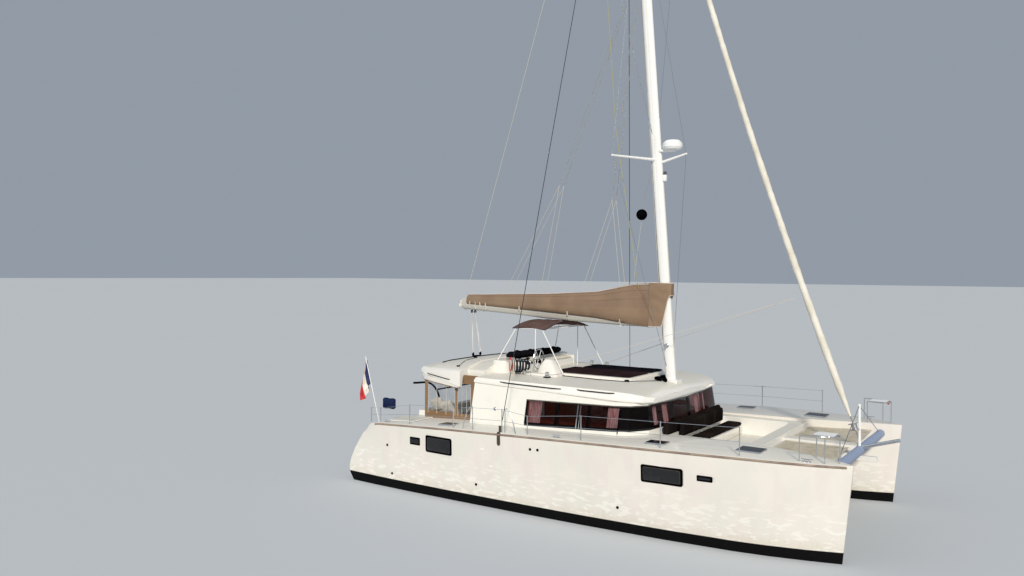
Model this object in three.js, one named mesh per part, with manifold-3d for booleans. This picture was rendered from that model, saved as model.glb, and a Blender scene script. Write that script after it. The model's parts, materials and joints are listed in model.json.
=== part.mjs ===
// A cruising sailing catamaran with a flying bridge, at anchor with its sails stowed.
// Millimetres. +X forward, +Y to port, +Z up. The origin is amidships on the
// centreline at the waterline. "b" is always the distance out from the centreline.
import * as THREE from 'three';
import Module from 'manifold-3d';
import { mergeVertices } from 'three/addons/utils/BufferGeometryUtils.js';

const wasm = await Module();
wasm.setup();
const { Manifold, Mesh: SolidMesh } = wasm;

// Driving dimensions
const GAP = 0.3;                 // left between pieces that touch
const RUN = 6;                   // left round pieces that move
const FAR = 4000;                // past the boat's sides, for cutting shapes
const HALF_LENGTH = 6980;
const HULL_CENTRE = 2985;        // b of each hull's own centreline
const TUNNEL = 2100;             // b of the hulls' inner sides under the bridge deck
const BRIDGE_UNDER = 820;
const FLOOR = 1450;              // cockpit and saloon sole
const DRAUGHT = 1300;
const STEM = { from: 4600, rake: 200 };
const TRANSOM = { from: -5800, rake: 700, low: 400, top: 1700, power: 1.5, under: 230 };
const MAST_FOOT = { x: 1600, z: 3190 };
const MAST_RAKE = 0.08;          // aft, per unit of height
const MASTHEAD = 22700;
const HOUNDS = 21900;
const CROSSBEAM_X = 6500;
const SEAL = 2;                  // left along canvas edges

// Hulls, bow to stern
const HULL_COLUMNS = ['x', 'deck', 'outer', 'inner', 'waterHalf', 'keel'];
const HULL_STATIONS = table(HULL_COLUMNS, [
  [6980, 2110, 3020, 2950, 15, -30],
  [6700, 2125, 3190, 2800, 90, -330],
  [6200, 2140, 3410, 2590, 220, -450],
  [5400, 2150, 3610, 2330, 390, -540],
  [4600, 2155, 3755, TUNNEL, 510, -580],
  [3000, 2130, 3875, TUNNEL, 650, -615],
  [1000, 2080, 3920, TUNNEL, 740, -630],
  [-1000, 2020, 3915, TUNNEL, 780, -620],
  [-3000, 1945, 3870, TUNNEL, 785, -540],
  [-4600, 1865, 3790, TUNNEL, 770, -390],
  [-5800, 1790, 3690, TUNNEL, 740, -220],
  [-6500, 1735, 3600, 2150, 710, -110],
  [-6980, 1700, 3520, 2200, 690, -30],
]);
// The side's flare: how much of the way from waterline to deck edge at a height
const FLARE = table(['z', 'outer', 'inner'], [[400, 0.35, 0.5], [900, 0.68, 1]]);
const EXTRA_HEIGHTS = [200, 650, 1150, 1400];      // more points for the transom's curve
const BILGE = { angles: [22.5, 45, 67.5], fullness: 0.7 };
const DECK_EDGE = table(['in', 'down'], [[0, 140], [0, 60], [14, 14], [55, 0]]);
const FULL_LIP_WIDTH = 400;      // hull width from which the deck edge has its full rounding

// The steps at each transom: behind which x, above which z
const STEPS = table(['x', 'z'], [[-6600, 470], [-6330, 790], [-6060, 1110], [-5850, 1430]]);
const STEP_WELL = { inner: 2330, bulwark: 150 };

// Recesses for the panes in the outer sides
const SIDE_PANES = table(['x', 'z', 'long', 'high'], [
  [-3455, 1430, 870, 400], [-4315, 1440, 310, 150], [3050, 1525, 980, 350], [4050, 1570, 370, 95],
]);
const PANE_DEPTH = 14;

// The engine rooms under the after deck
const ENGINE_BAY = { x0: -5720, x1: -4780, b0: 2520, b1: 3330, floor: 60, lip: 40, lid: 30 };
const ENGINE = { x0: -5600, x1: -4900, half: 240, high: 620, round: 60 };

const KEEL = { x0: -1900, x1: 700, thick: 250, top: -450, taper: 0.72, sweep: -260 };
const SAILDRIVE = { x: -4760, aft: 230, fore: 90, thick: 110, top: -300, sides: 10 };
const SAILDRIVE_NOSE = table(['ahead', 'radius'], [[-252, 46], [-120, 60], [60, 56], [170, 12]]);
const PROPELLER = { x: -5075, z: -900, radius: 230, hub: 52, long: 110, blades: 3, wide: 130, pitch: 28 };
const RUDDER = {
  x: -6080, z0: -250, z1: -1150, ahead: 150, behind: 330, thick: 60, taper: 0.85, sweep: -20,
  stock: 32, stockTop: 600, tubeTop: 700,
};
const BLADE_SHARES = [0, 0.06, 0.25, 0.55, 1];

// Bridge deck
const BRIDGE_OUTLINE = table(['x', 'z'], [
  [-5600, 900], [-5480, BRIDGE_UNDER], [2600, BRIDGE_UNDER], [3600, 980], [4300, 1330], [4700, 1820],
  [4700, 2080], [2000, 2070], [1900, FLOOR + 10], [-5260, FLOOR + 10], [-5260, 1980], [-5600, 1960],
]);
const SOLE = { x0: -5260, x1: 1900, half: 2300 };
const WELL = { x0: 2420, x1: 4380, half: 1750, floor: 1620, round: 150 };
const POD = table(['x', 'low', 'half'], [
  [4250, 1290, 60], [3000, 700, 330], [1000, 570, 420], [-900, 640, 330], [-1500, 815, 120],
]);
const POD_ROOT = { z: 1400, wider: 160 };

// The deckhouse's half outline, stern to bow, at its foot and at its head
const HOUSE = { foot: 1900, head: 2960, over: 140, wall: 60, seamSlope: -0.033, seamZ: 2936, aft: -3400 };
const HOUSE_OUTLINE = table(['footX', 'footB', 'headX', 'headB'], [
  [-3080, 2950, -3080, 2700], [-800, 2960, -800, 2710], [1300, 2930, 1250, 2670],
  [1680, 2790, 1620, 2560], [2050, 2350, 1900, 2200], [2180, 1300, 2020, 1250], [2230, 0, 2060, 0],
]);
const BAND = { x0: -1310, low: 2120, lowSlope: 0.043, high: 2750, highSlope: 0.022 };
const SIDE_WINDOWS = table(['x0', 'x1'], [[-1250, -400], [-310, 520], [610, 1400]]);
const FRONT_WINDOWS = table(['y0', 'y1'], [[-2050, -1080], [-1000, -40], [40, 1000], [1080, 2050]]);
const FRONT_PANE_X = 1500;       // front windows lie ahead of this
const WINDOW_FRAME = 30;
const GLASS = 16;
const BULKHEAD = { x: -3000, thick: 50, half: 2900, side: 1950, sill: 2050, mullion: 120 };
const DOOR = { y0: -150, y1: 950, top: 2790, thick: 34, frame: 40, sill: 90, lift: 8 };

const ROOF_STATIONS = table(['x', 'half', 'crown'], [
  [2120, 1300, 3030], [2060, 2150, 3070], [1880, 2450, 3130], [1600, 2620, 3190], [1000, 2720, 3230],
  [-3080, 2760, 3270],
]);
const HARDTOP_STATIONS = table(['x', 'half', 'top', 'edge', 'under', 'fascia'], [
  [-5460, 1850, 3310, 3262, 3185, 3180], [-5330, 2330, 3380, 3285, 3170, 3150],
  [-4900, 2540, 3450, 3290, 3155, 3090], [-3660, 2640, 3560, 3330, 3150, 2850],
]);
const HARDTOP_NECK = { x1: -3086, half: 2250, overlap: 50 };
const HARDTOP_POST = { x: -5090, b: 2400, z0: 1650, z1: 3190, radius: 28 };

// Flying bridge
const LOUNGE = { x0: -1650, x1: 900, y0: -1150, y1: 1250, top: 3300, round: 200 };
const COAMING = { x0: -3200, x1: -2650, half: 1800, top: 3600, round: 200 };
const COAMING_ARMS = { x0: -3100, x1: -2250, half: 1500, top: 3560, round: 80 };
const COAMING_INSIDE = { x0: -2700, x1: -1000, half: 1400, floor: 3295, round: 120 };
const FLYBRIDGE_SOLE = { x0: -2700, x1: -1100, half: 1620, top: 3295, round: 60 };
const FLYBRIDGE_SEAT = { x0: -2750, x1: -2260, half: 1440, top: 3470, round: 60 };
const FLYBRIDGE_ROOT = 3170;
const CONSOLE = table(['z', 'x0', 'x1', 'b0', 'b1'], [
  [3280, -1850, -1180, 960, 1560], [3400, -1810, -1230, 990, 1530], [3690, -1730, -1400, 1080, 1450],
]);
const WHEEL = { x: -1900, y: -1260, z: 3660, radius: 280, rim: 16, hub: 45, spoke: 9 };
const ROLLED_COVER = { x0: -2800, y0: -1500, x1: -2790, y1: 1450, z: 3692, radius: 95 };
const SUNPAD = { x0: -1600, x1: 620, y0: -760, y1: 940, top: 3350, round: 90 };

// The canopy's arches, the bars that carry it, and legs with their foot and the bar at their head
const CANOPY = { half: 1290, crown: 200, thick: 14, shares: [-1, -0.5, 0, 0.5, 1] };
const CANOPY_ARCHES = table(['x', 'z'], [
  [-2800, 4500], [-2500, 4520], [-2150, 4520], [-1800, 4510], [-1500, 4470],
]);
const BIMINI = { b: 1230, bar: 13, runner: 11, leg: 15 };
const BIMINI_BARS = table(['x', 'z'], [[-2700, 4503], [-2030, 4514], [-1810, 4507]]);
const BIMINI_LEGS = table(['footX', 'footB', 'footZ', 'bar'], [
  [-2030, BIMINI.b, 3280, 1], [-1100, BIMINI.b, 3280, 2], [-3080, 1600, 3580, 0],
]);

// Cockpit and saloon
const ENCLOSURE = { x0: -5040, x1: -3150, b: 2440, thick: 14, foot: 1700, top: 3200, sill: 2080 };
const ENCLOSURE_PANES = table(['x0', 'x1', 'top'], [
  [-4970, -3950, 2960], [-3700, -3400, 3000],
]);
const COCKPIT_SEATS = table(['x0', 'x1', 'y0', 'y1'], [
  [-5250, -4600, -1950, 1950], [-4700, -3500, -2050, -1400],
]);
const SEAT = { top: 1870, round: 60 };
const COCKPIT_TABLE = { x0: -4350, x1: -3450, y0: -1150, y1: 450, z0: 2120, z1: 2160, round: 120, leg: 60 };
const SALOON_TABLE = { x0: -900, x1: 850, y0: 640, y1: 1200, z0: 2080, z1: 2120, round: 90, leg: 55 };
const SOFA = { x0: -1200, x1: 1500, y0: 600, y1: 2050, seat: 1860, back: 2080, backY: 1850, round: 80 };
const SOFA_FOOT = { x0: -1100, x1: 1100, y0: 560, y1: 1250, round: 60 };
const COUNTER = { x0: -2700, x1: 500, y0: -2050, y1: -1450, top: 2080, round: 50 };

// Foredeck
const FORWARD_SEAT = { deep: 620, top: 1960, round: 140, backDeep: 160, backHalf: 1500, backTop: 2380 };
const BEAM = { z: 1880, half: 2640, radius: 110 };
const STRIKER = { rake: 20, top: 3000, radius: 32, stayB: 2450, stay: 9 };
const BOWSPRIT = { x0: CROSSBEAM_X + 60, z0: 1960, x1: 7400, z1: 2220, radius: 45 };
const WALKWAY = { x0: 4700, x1: CROSSBEAM_X - 60, half: 190, z0: 1880, z1: 2010, round: 10 };
const ANCHOR_ROLLER = { x0: 6100, x1: 6900, half: 60, z0: 1640, z1: 1760, hangerX: 6240, hangerZ: 1960 };
const NET = { x0: 4760, bend: 5400, x1: 6340, inner: 230, z: 1950, thick: 12, edge: 45 };

// Rig
const MAST = { chord: 300, width: 190, taperFrom: 18000, headChord: 200, headWidth: 130, sides: 16 };
const MAST_STEP = { below: 200, x: 230, y: 170, above: 45 };
const GOOSENECK = { x: 1260, z: 4700, reach: 100, half: 30, high: 40 };
const SPREADERS = table(['z', 'half', 'aft', 'rise'], [[9260, 1295, 718, 30], [14900, 1040, 580, 30]]);
const FORWARD_STRUTS = table(['z', 'ahead', 'rise'], [[9150, 840, 220], [14800, 880, 150]]);
const SPREADER = { root: 42, tip: 26 };
const RADAR = { x: 1570, z: 9640, shelfX: 1640, shelfZ: 9470, shelfThick: 60, shelfHalf: 90, sides: 20 };
const RADAR_DOME = table(['radius', 'z'], [
  [0, -120], [235, -120], [270, -60], [265, 40], [190, 120], [0, 140],
]);
const BOOM = { x0: 1145, z0: 4770, x1: -5560, z1: 5150, high: 260, wide: 170, chamfer: 40 };
const BAG_STATIONS = table(['x', 'low', 'top', 'half'], [
  [1060, 4640, 5830, 120], [560, 4690, 5760, 165], [-680, 4830, 5570, 190], [-2370, 4950, 5500, 185],
  [-5330, 5110, 5410, 130],
]);
// The bag's half section: shares of its half width and of its height
const BAG_SECTION = table(['out', 'up'], [[0.75, 0], [1, 0.3], [0.8, 0.7], [0.25, 1]]);
const GENOA = {
  tackX: 6170, tackZ: 2950, headZ: 20900, foot: 95, head: 60, houndsAhead: 100, sag: 330, lengths: 6,
  stay: 11, stayFoot: 2090, drumZ0: 2560, drumZ1: 2720, drum: 125,
};
const CHAINPLATE = { x: -1460, b: 3800, z: 1990, half: 45, thick: 8, below: 60, above: 180, wire: 9 };

// Rails: posts along the deck's edge, aft to fore
const POSTS = table(['x', 'high'], [
  [-6190, 420], [-5780, 420], [-4600, 560], [-3000, 600], [-1400, 620], [-620, 500], [920, 620], [2960, 630],
  [4750, 650],
]);
const LIFELINE = { inboard: 90, atZ: 1900, post: 13, wire: 5, shares: [0.97, 0.5], bury: 12 };
const PULPIT = { deckX: 6300, high: 560, rail: 14, leg: 13, bury: 80 };
const PULPIT_ROUTE = table(['x', 'b'], [
  [5950, 3330], [6450, 3230], [6700, 2990], [6560, 2800], [6150, 2700],
]);
const PULPIT_LEGS = [0, 1, 2, 4];
const PULPIT_SEAT = { x0: 6180, x1: 6620, b0: 2730, b1: 3190, half: 18, round: 60 };
const DAVITS = { b: 1300, radius: 32, barX: -5600, barZ: 2480, bar: 24 };
const DAVIT_ROUTE = table(['x', 'z'], [[-5450, 1900], [-5500, 2350], [-5800, 2650], [-6500, 2620]]);
const FLAGSTAFF = { foot: [-5990, -3400, 1650], head: [-6640, -3330, 3600], radius: 13 };

// Deck hatches: each lid is hinged along its forward edge
const HATCHES = table(['name', 'x', 'b', 'long', 'wide'], [
  ['bow', 4780, 2900, 560, 560], ['fore', 2650, 3250, 480, 400], ['aft', -3480, 3380, 440, 400],
]);
const LID = { thick: 28, slope: 20 };

// Colours from the photograph
const FINISH = {
  gelcoat: [0xf1efe8, 0.3, 0], boot: [0x15181c, 0.7, 0], glass: [0x1c1512, 0.08, 0],
  deck: [0xdcdad3, 0.7, 0], metal: [0xc9ccd0, 0.25, 1], painted: [0xf4f4f2, 0.35, 0],
  bag: [0x9b7f66, 0.9, 0], sail: [0xe9e4d8, 0.85, 0], tan: [0xa9835c, 0.9, 0],
  dark: [0x17181b, 0.75, 0], brown: [0x4a3328, 0.9, 0], wood: [0x8a5a34, 0.5, 0],
  blueGrey: [0x6f8296, 0.5, 0], engine: [0x4b5560, 0.6, 0], cushion: [0xe6e2d8, 0.9, 0],
  net: [0xcfc4ae, 0.95, 0], bronze: [0xa8824c, 0.35, 1],
};

function table(columns, rows) {
  return rows.map((row) => Object.fromEntries(columns.map((name, i) => [name, row[i]])));
}

// Geometry helpers

function solidOf(geometry) {
  const bare = geometry.clone();
  bare.deleteAttribute('normal');
  bare.deleteAttribute('uv');
  const merged = mergeVertices(bare, 1e-3);
  return new Manifold(new SolidMesh({
    numProp: 3,
    vertProperties: new Float32Array(merged.attributes.position.array),
    triVerts: Uint32Array.from(merged.index.array),
  }));
}

function geometryOf(solid) {
  const mesh = solid.getMesh();
  const geometry = new THREE.BufferGeometry();
  geometry.setAttribute('position', new THREE.BufferAttribute(new Float32Array(mesh.vertProperties), 3));
  geometry.setIndex(new THREE.BufferAttribute(new Uint32Array(mesh.triVerts), 1));
  return geometry;
}

// Six times the signed volume inside a list of triangles
function sixVolumes(positions, index) {
  let sum = 0;
  const at = (i) => new THREE.Vector3().fromArray(positions, 3 * i);
  for (let i = 0; i < index.length; i += 3) {
    sum += at(index[i]).dot(at(index[i + 1]).cross(at(index[i + 2])));
  }
  return sum;
}

// Joins rings of equal count into a closed solid. "flat" names the two
// coordinates in which an end ring is a simple outline.
function loft(rings, flat) {
  const count = rings[0].length;
  const positions = rings.flat(2);
  const index = [];
  for (let r = 0; r + 1 < rings.length; r += 1) {
    for (let i = 0; i < count; i += 1) {
      const a = r * count + i;
      const b = r * count + ((i + 1) % count);
      index.push(a, b, b + count, a, b + count, a + count);
    }
  }
  const flatten = (ring) => ring.map((p) => new THREE.Vector2(p[flat[0]], p[flat[1]]));
  const side = THREE.ShapeUtils.isClockWise(flatten(rings[0])) ? 1 : -1;
  const ends = [[rings[0], 0, side], [rings.at(-1), positions.length / 3 - count, -side]];
  for (const [ring, start, turn] of ends) {
    for (const face of THREE.ShapeUtils.triangulateShape(flatten(ring), [])) {
      const [a, b, c] = face.map((i) => i + start);
      index.push(...(turn > 0 ? [a, b, c] : [a, c, b]));
    }
  }
  if (sixVolumes(positions, index) < 0) index.reverse();
  const geometry = new THREE.BufferGeometry();
  geometry.setAttribute('position', new THREE.Float32BufferAttribute(positions, 3));
  geometry.setIndex(index);
  return solidOf(geometry);
}

function box(x0, x1, y0, y1, z0, z1) {
  const geometry = new THREE.BoxGeometry(x1 - x0, Math.abs(y1 - y0), z1 - z0);
  geometry.translate((x0 + x1) / 2, (y0 + y1) / 2, (z0 + z1) / 2);
  return solidOf(geometry);
}

// A box with its upright edges rounded
function pad(x0, x1, y0, y1, z0, z1, radius) {
  const shape = new THREE.Shape();
  const corners = [[x1 - radius, y0 + radius, -90], [x1 - radius, y1 - radius, 0],
    [x0 + radius, y1 - radius, 90], [x0 + radius, y0 + radius, 180]];
  for (const [x, y, from] of corners) {
    const start = THREE.MathUtils.degToRad(from);
    shape.absarc(x, y, radius, start, start + Math.PI / 2, false);
  }
  const settings = { depth: z1 - z0, bevelEnabled: false, curveSegments: 3 };
  const geometry = new THREE.ExtrudeGeometry(shape, settings);
  geometry.translate(0, 0, z0);
  return solidOf(geometry);
}

// A pad that stands the same distance out on both sides of the centreline
function evenPad({ x0, x1, half, round }, z0, z1) {
  return pad(x0, x1, -half, half, z0, z1, round);
}

function padOf({ x0, x1, y0, y1, round }, z0, z1) {
  return pad(x0, x1, y0, y1, z0, z1, round);
}

// An outline in X and Z, carried across from y0 to y1
function profile(points, y0, y1) {
  return loft([y0, y1].map((y) => points.map(([x, z]) => [x, y, z])), [0, 2]);
}

// A ring that is its own mirror image: port points, then starboard ones back again
function twoSided(x, half, middle = []) {
  const port = half.map(([b, z]) => [x, b, z]);
  const starboard = half.map(([b, z]) => [x, -b, z]).reverse();
  return [...port, ...middle, ...starboard];
}

function rod(from, to, radius, sides = 8, radiusTo = radius) {
  const a = new THREE.Vector3(...from);
  const b = new THREE.Vector3(...to);
  const along = b.clone().sub(a);
  const geometry = new THREE.CylinderGeometry(radiusTo, radius, along.length(), sides);
  const up = new THREE.Vector3(0, 1, 0);
  geometry.applyQuaternion(new THREE.Quaternion().setFromUnitVectors(up, along.normalize()));
  geometry.translate(...a.add(b).multiplyScalar(0.5));
  return solidOf(geometry);
}

function tube(points, radius, steps, sides = 8) {
  const knots = points.map((p) => new THREE.Vector3(...p));
  const path = new THREE.CatmullRomCurve3(knots, false, 'centripetal');
  const ring = new THREE.Shape();
  for (let i = 0; i < sides; i += 1) {
    const turn = (2 * Math.PI * i) / sides;
    const [x, y] = [radius * Math.cos(turn), radius * Math.sin(turn)];
    if (i === 0) ring.moveTo(x, y);
    else ring.lineTo(x, y);
  }
  ring.closePath();
  return solidOf(new THREE.ExtrudeGeometry(ring, { steps, extrudePath: path, bevelEnabled: false }));
}

function join(solids) {
  return solids.reduce((sum, solid) => sum.add(solid));
}

// Takes the neighbours out of a solid, leaving the touching gap along each given direction
function clear(solid, neighbours, ...gaps) {
  const directions = gaps.length > 0 ? gaps : [[0, 0, GAP]];
  let left = solid;
  for (const other of neighbours) {
    left = left.subtract(other);
    for (const by of directions) left = left.subtract(other.translate(by));
  }
  return left;
}

function mirrored(solid) {
  return solid.mirror([0, 1, 0]);
}

function between(stations, x, name) {
  const found = stations.findIndex((row, i) => i > 0 && row.x <= x);
  const aft = found < 0 ? stations.length - 1 : found;
  const [a, b] = [stations[aft - 1], stations[aft]];
  return THREE.MathUtils.mapLinear(x, a.x, b.x, a[name], b[name]);
}

const deckAt = (x) => between(HULL_STATIONS, x, 'deck');
const mastAt = (z) => MAST_FOOT.x - MAST_RAKE * (z - MAST_FOOT.z);
const seamAt = (x) => HOUSE.seamZ + HOUSE.seamSlope * x;

// Hulls: the port one is drawn, and the other is its mirror image

function hullLeaning(x, z, deck) {
  if (x > STEM.from) {
    const share = (x - STEM.from) / (HALF_LENGTH - STEM.from);
    return x - STEM.rake * share * (deck - z) / deck;
  }
  if (x < TRANSOM.from) {
    const { from, rake, low, top, power, under } = TRANSOM;
    const share = (from - x) / (HALF_LENGTH + from);
    const up = Math.max(0, z - low) / (top - low);
    const down = THREE.MathUtils.clamp((low - z) / low, 0, 1);
    return x + share * (rake * up ** power + under * down ** 2);
  }
  return x;
}

function hullSide(row, edge, flare) {
  const sign = edge > HULL_CENTRE ? 1 : -1;
  const water = HULL_CENTRE + sign * row.waterHalf;
  const points = BILGE.angles.map((angle) => {
    const turn = THREE.MathUtils.degToRad(angle);
    return [HULL_CENTRE + sign * row.waterHalf * Math.sin(turn) ** BILGE.fullness,
      row.keel * Math.cos(turn) ** BILGE.fullness];
  });
  const knots = [[0, 0], ...FLARE.map((step) => [step.z, step[flare]]), [row.deck - DECK_EDGE[0].down, 1]];
  for (const height of [0, ...FLARE.map((step) => step.z), ...EXTRA_HEIGHTS].sort((a, b) => a - b)) {
    const next = Math.max(1, knots.findIndex(([z]) => z >= height));
    const [[z0, share0], [z1, share1]] = [knots[next - 1], knots[next]];
    points.push([water + (edge - water) * THREE.MathUtils.mapLinear(height, z0, z1, share0, share1), height]);
  }
  return points;
}

function hullRing(row) {
  const outer = hullSide(row, row.outer, 'outer');
  const inner = hullSide(row, row.inner, 'inner').reverse();
  const lip = Math.min(1, (row.outer - row.inner) / FULL_LIP_WIDTH);
  const rim = DECK_EDGE.map((edge) => [row.outer - lip * edge.in, row.deck - edge.down]);
  const ring = [[HULL_CENTRE, row.keel], ...outer, ...rim, [row.inner, row.deck], ...inner];
  return ring.map(([b, z]) => [hullLeaning(row.x, z, row.deck), b, z]);
}

// The outer side's distance out at a height, for the recesses and the rails
function sideAt(x, z) {
  const water = HULL_CENTRE + between(HULL_STATIONS, x, 'waterHalf');
  const edge = between(HULL_STATIONS, x, 'outer');
  const [low, high] = FLARE;
  const share = z < high.z
    ? THREE.MathUtils.mapLinear(z, low.z, high.z, low.outer, high.outer)
    : THREE.MathUtils.mapLinear(z, high.z, deckAt(x) - DECK_EDGE[0].down, high.outer, 1);
  return water + (edge - water) * share;
}

function paneRecess(pane) {
  const [x0, x1] = [pane.x - pane.long / 2, pane.x + pane.long / 2];
  const [z0, z1] = [pane.z - pane.high / 2, pane.z + pane.high / 2];
  const back = (x, z) => sideAt(x, z) - PANE_DEPTH;
  const ring = (x) => [[x, back(x, z0), z0], [x, FAR, z0], [x, FAR, z1], [x, back(x, z1), z1]];
  return loft([ring(x0), ring(x1)], [1, 2]);
}

function hullBody() {
  const sky = deckAt(0) + 1000;
  let hull = loft(HULL_STATIONS.map(hullRing), [1, 2]);
  for (const step of STEPS) {
    const outer = sideAt(step.x, step.z) - STEP_WELL.bulwark;
    hull = hull.subtract(box(-HALF_LENGTH - 300, step.x, STEP_WELL.inner, outer, step.z, sky));
  }
  for (const pane of SIDE_PANES) hull = hull.subtract(paneRecess(pane));
  const bay = ENGINE_BAY;
  hull = hull.subtract(box(bay.x0, bay.x1, bay.b0, bay.b1, bay.floor, sky));
  const { x, z1, tubeTop, stock } = RUDDER;
  const stockTube = rod([x, HULL_CENTRE, z1], [x, HULL_CENTRE, tubeTop], stock + RUN, 12);
  return hull.subtract(stockTube);
}

const hullPort = hullBody();
const hullStarboard = mirrored(hullPort);

// A blade with a rounded nose, laid along X and standing between two heights
function blade({ x0, x1, thick, taper = 1, sweep = 0 }, z0, z1) {
  const half = (share) => thick * Math.sqrt(share) * (1 - share) * 1.3;
  const ring = (z, scale, shift) => {
    const upper = BLADE_SHARES.map((s) => [x1 + shift - s * (x1 - x0) * scale, half(s) * scale]);
    const lower = upper.slice(1, -1).reverse().map(([x, y]) => [x, -y]);
    return [...upper, ...lower].map(([x, y]) => [x, HULL_CENTRE + y, z]);
  };
  return loft([ring(z1, 1, 0), ring(z0, taper, sweep)], [0, 1]);
}

const keel = () => clear(blade(KEEL, -DRAUGHT, KEEL.top), [hullPort], [0, 0, -GAP]);

function saildrive() {
  const { x, aft, fore, thick, top, sides } = SAILDRIVE;
  const leg = blade({ x0: x - aft, x1: x + fore, thick }, PROPELLER.z, top);
  const rings = SAILDRIVE_NOSE.map(({ ahead, radius }) => [...Array(sides).keys()].map((i) => {
    const turn = (2 * Math.PI * i) / sides;
    return [x + ahead, HULL_CENTRE + radius * Math.cos(turn), PROPELLER.z + radius * Math.sin(turn)];
  }));
  return clear(leg.add(loft(rings, [1, 2])), [hullPort], [0, 0, -GAP]);
}

function propeller() {
  const { x, z, radius, hub, long, blades, wide, pitch } = PROPELLER;
  const core = rod([x - long / 2, 0, 0], [x + long / 2, 0, 0], hub * 0.6, 12, hub);
  const paddle = solidOf(new THREE.BoxGeometry(14, wide, radius - 20)).rotate([0, 0, pitch])
    .translate([x, 0, (radius + 20) / 2]);
  const paddles = [...Array(blades).keys()].map((i) => paddle.rotate([(360 * i) / blades, 0, 0]));
  const swept = rod([x - long, 0, 0], [x + long, 0, 0], radius, 24);
  return join([core, ...paddles]).intersect(swept).translate([0, HULL_CENTRE, z]);
}

function rudder() {
  const { x, ahead, behind, z0, z1, stock, stockTop } = RUDDER;
  const fin = blade({ ...RUDDER, x0: x - behind, x1: x + ahead }, z1, z0);
  return fin.add(rod([x, HULL_CENTRE, z1 + 200], [x, HULL_CENTRE, stockTop], stock, 12));
}

function engine() {
  const { x0, x1, half, high, round } = ENGINE;
  const foot = ENGINE_BAY.floor + GAP;
  return pad(x0, x1, HULL_CENTRE - half, HULL_CENTRE + half, foot, foot + high, round);
}

// A lid that follows the slope of the deck it lies on
function deckLid(x0, x1, b0, b1, thick) {
  const ring = (x) => {
    const [low, high] = [deckAt(x) + RUN, deckAt(x) + RUN + thick];
    return [[x, b0, low], [x, b1, low], [x, b1 - LID.slope, high], [x, b0 + LID.slope, high]];
  };
  return loft([ring(x0), ring(x1)], [1, 2]);
}

function engineLid() {
  const { x0, x1, b0, b1, lip, lid } = ENGINE_BAY;
  return deckLid(x0 - lip, x1 + lip, b0 - lip, b1 + lip, lid);
}

function hatchLid({ x, b, long, wide }) {
  return deckLid(x - long / 2, x + long / 2, b - wide / 2, b + wide / 2, LID.thick);
}

// Bridge deck: the floor between the hulls, the foredeck and its seating well

function bridgeDeck() {
  const outline = BRIDGE_OUTLINE.map(({ x, z }) => [x, z]);
  const pod = POD.map(({ x, low, half }) => {
    const root = half + POD_ROOT.wider;
    return [[x, -root, POD_ROOT.z], [x, -half, low], [x, half, low], [x, root, POD_ROOT.z]];
  });
  return profile(outline, -TUNNEL + GAP, TUNNEL - GAP)
    .subtract(box(SOLE.x0, SOLE.x1, -SOLE.half, SOLE.half, FLOOR, FAR))
    .subtract(evenPad(WELL, WELL.floor, FAR))
    .add(loft(pod, [1, 2]));
}

const bridge = bridgeDeck();

// Deckhouse, grown outwards by a distance, its after end at x0 where one is given
function houseLoft(out, x0 = null) {
  const corners = HOUSE_OUTLINE.map(({ footX, footB, headX, headB }) => (
    { foot: [footX, footB], head: [headX, headB] }));
  const ring = (key, z) => {
    const points = corners.map((row) => row[key]);
    if (x0 !== null) points[0] = [x0, points[0][1]];
    const moved = points.map((p, i) => {
      const before = points[Math.max(0, i - 1)];
      const after = points[i + 1] ?? [p[0], -p[1] - 1];
      const along = new THREE.Vector2(after[0] - before[0], after[1] - before[1]).normalize();
      const normal = i === points.length - 1 ? [1, 0] : [-along.y, along.x];
      return [p[0] + out * (i === 0 ? 0 : normal[0]), p[1] + out * normal[1]];
    });
    const port = moved.map(([x, b]) => [x, b, z]);
    const starboard = moved.slice(0, -1).reverse().map(([x, b]) => [x, -b, z]);
    return [...port, ...starboard];
  };
  return loft([ring('foot', HOUSE.foot), ring('head', HOUSE.head + HOUSE.over)], [0, 1]);
}

// Everything under the seam where the roof sits
function underSeam(drop) {
  const top = (x) => [x, seamAt(x) - drop];
  return profile([[-FAR, 0], [FAR, 0], top(FAR), top(-FAR)], -FAR, FAR);
}

function bandSlab(x0, grow) {
  const low = (x) => BAND.low + BAND.lowSlope * (x - BAND.x0) - grow;
  const high = (x) => BAND.high + BAND.highSlope * (x - BAND.x0) + grow;
  return profile([[x0, low(x0)], [FAR, low(FAR)], [FAR, high(FAR)], [x0, high(x0)]], -FAR, FAR);
}

const houseInside = (extra = 0) => houseLoft(-HOUSE.wall - extra, HOUSE.aft);

function saloonWalls() {
  const shell = houseLoft(0).subtract(houseInside()).intersect(underSeam(0));
  const cuts = SIDE_WINDOWS.map((pane) => box(pane.x0, pane.x1, -FAR, FAR, FLOOR, FAR));
  cuts.push(...FRONT_WINDOWS.map((pane) => box(FRONT_PANE_X, FAR, pane.y0, pane.y1, FLOOR, FAR)));
  const panes = join(cuts).intersect(bandSlab(BAND.x0, -WINDOW_FRAME));
  return clear(shell.subtract(panes), [hullPort, hullStarboard, bridge]);
}

function saloonGlass() {
  const skin = houseLoft(GLASS).subtract(houseLoft(2 * GAP, HOUSE.aft));
  return skin.intersect(bandSlab(BAND.x0, 0));
}

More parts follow.
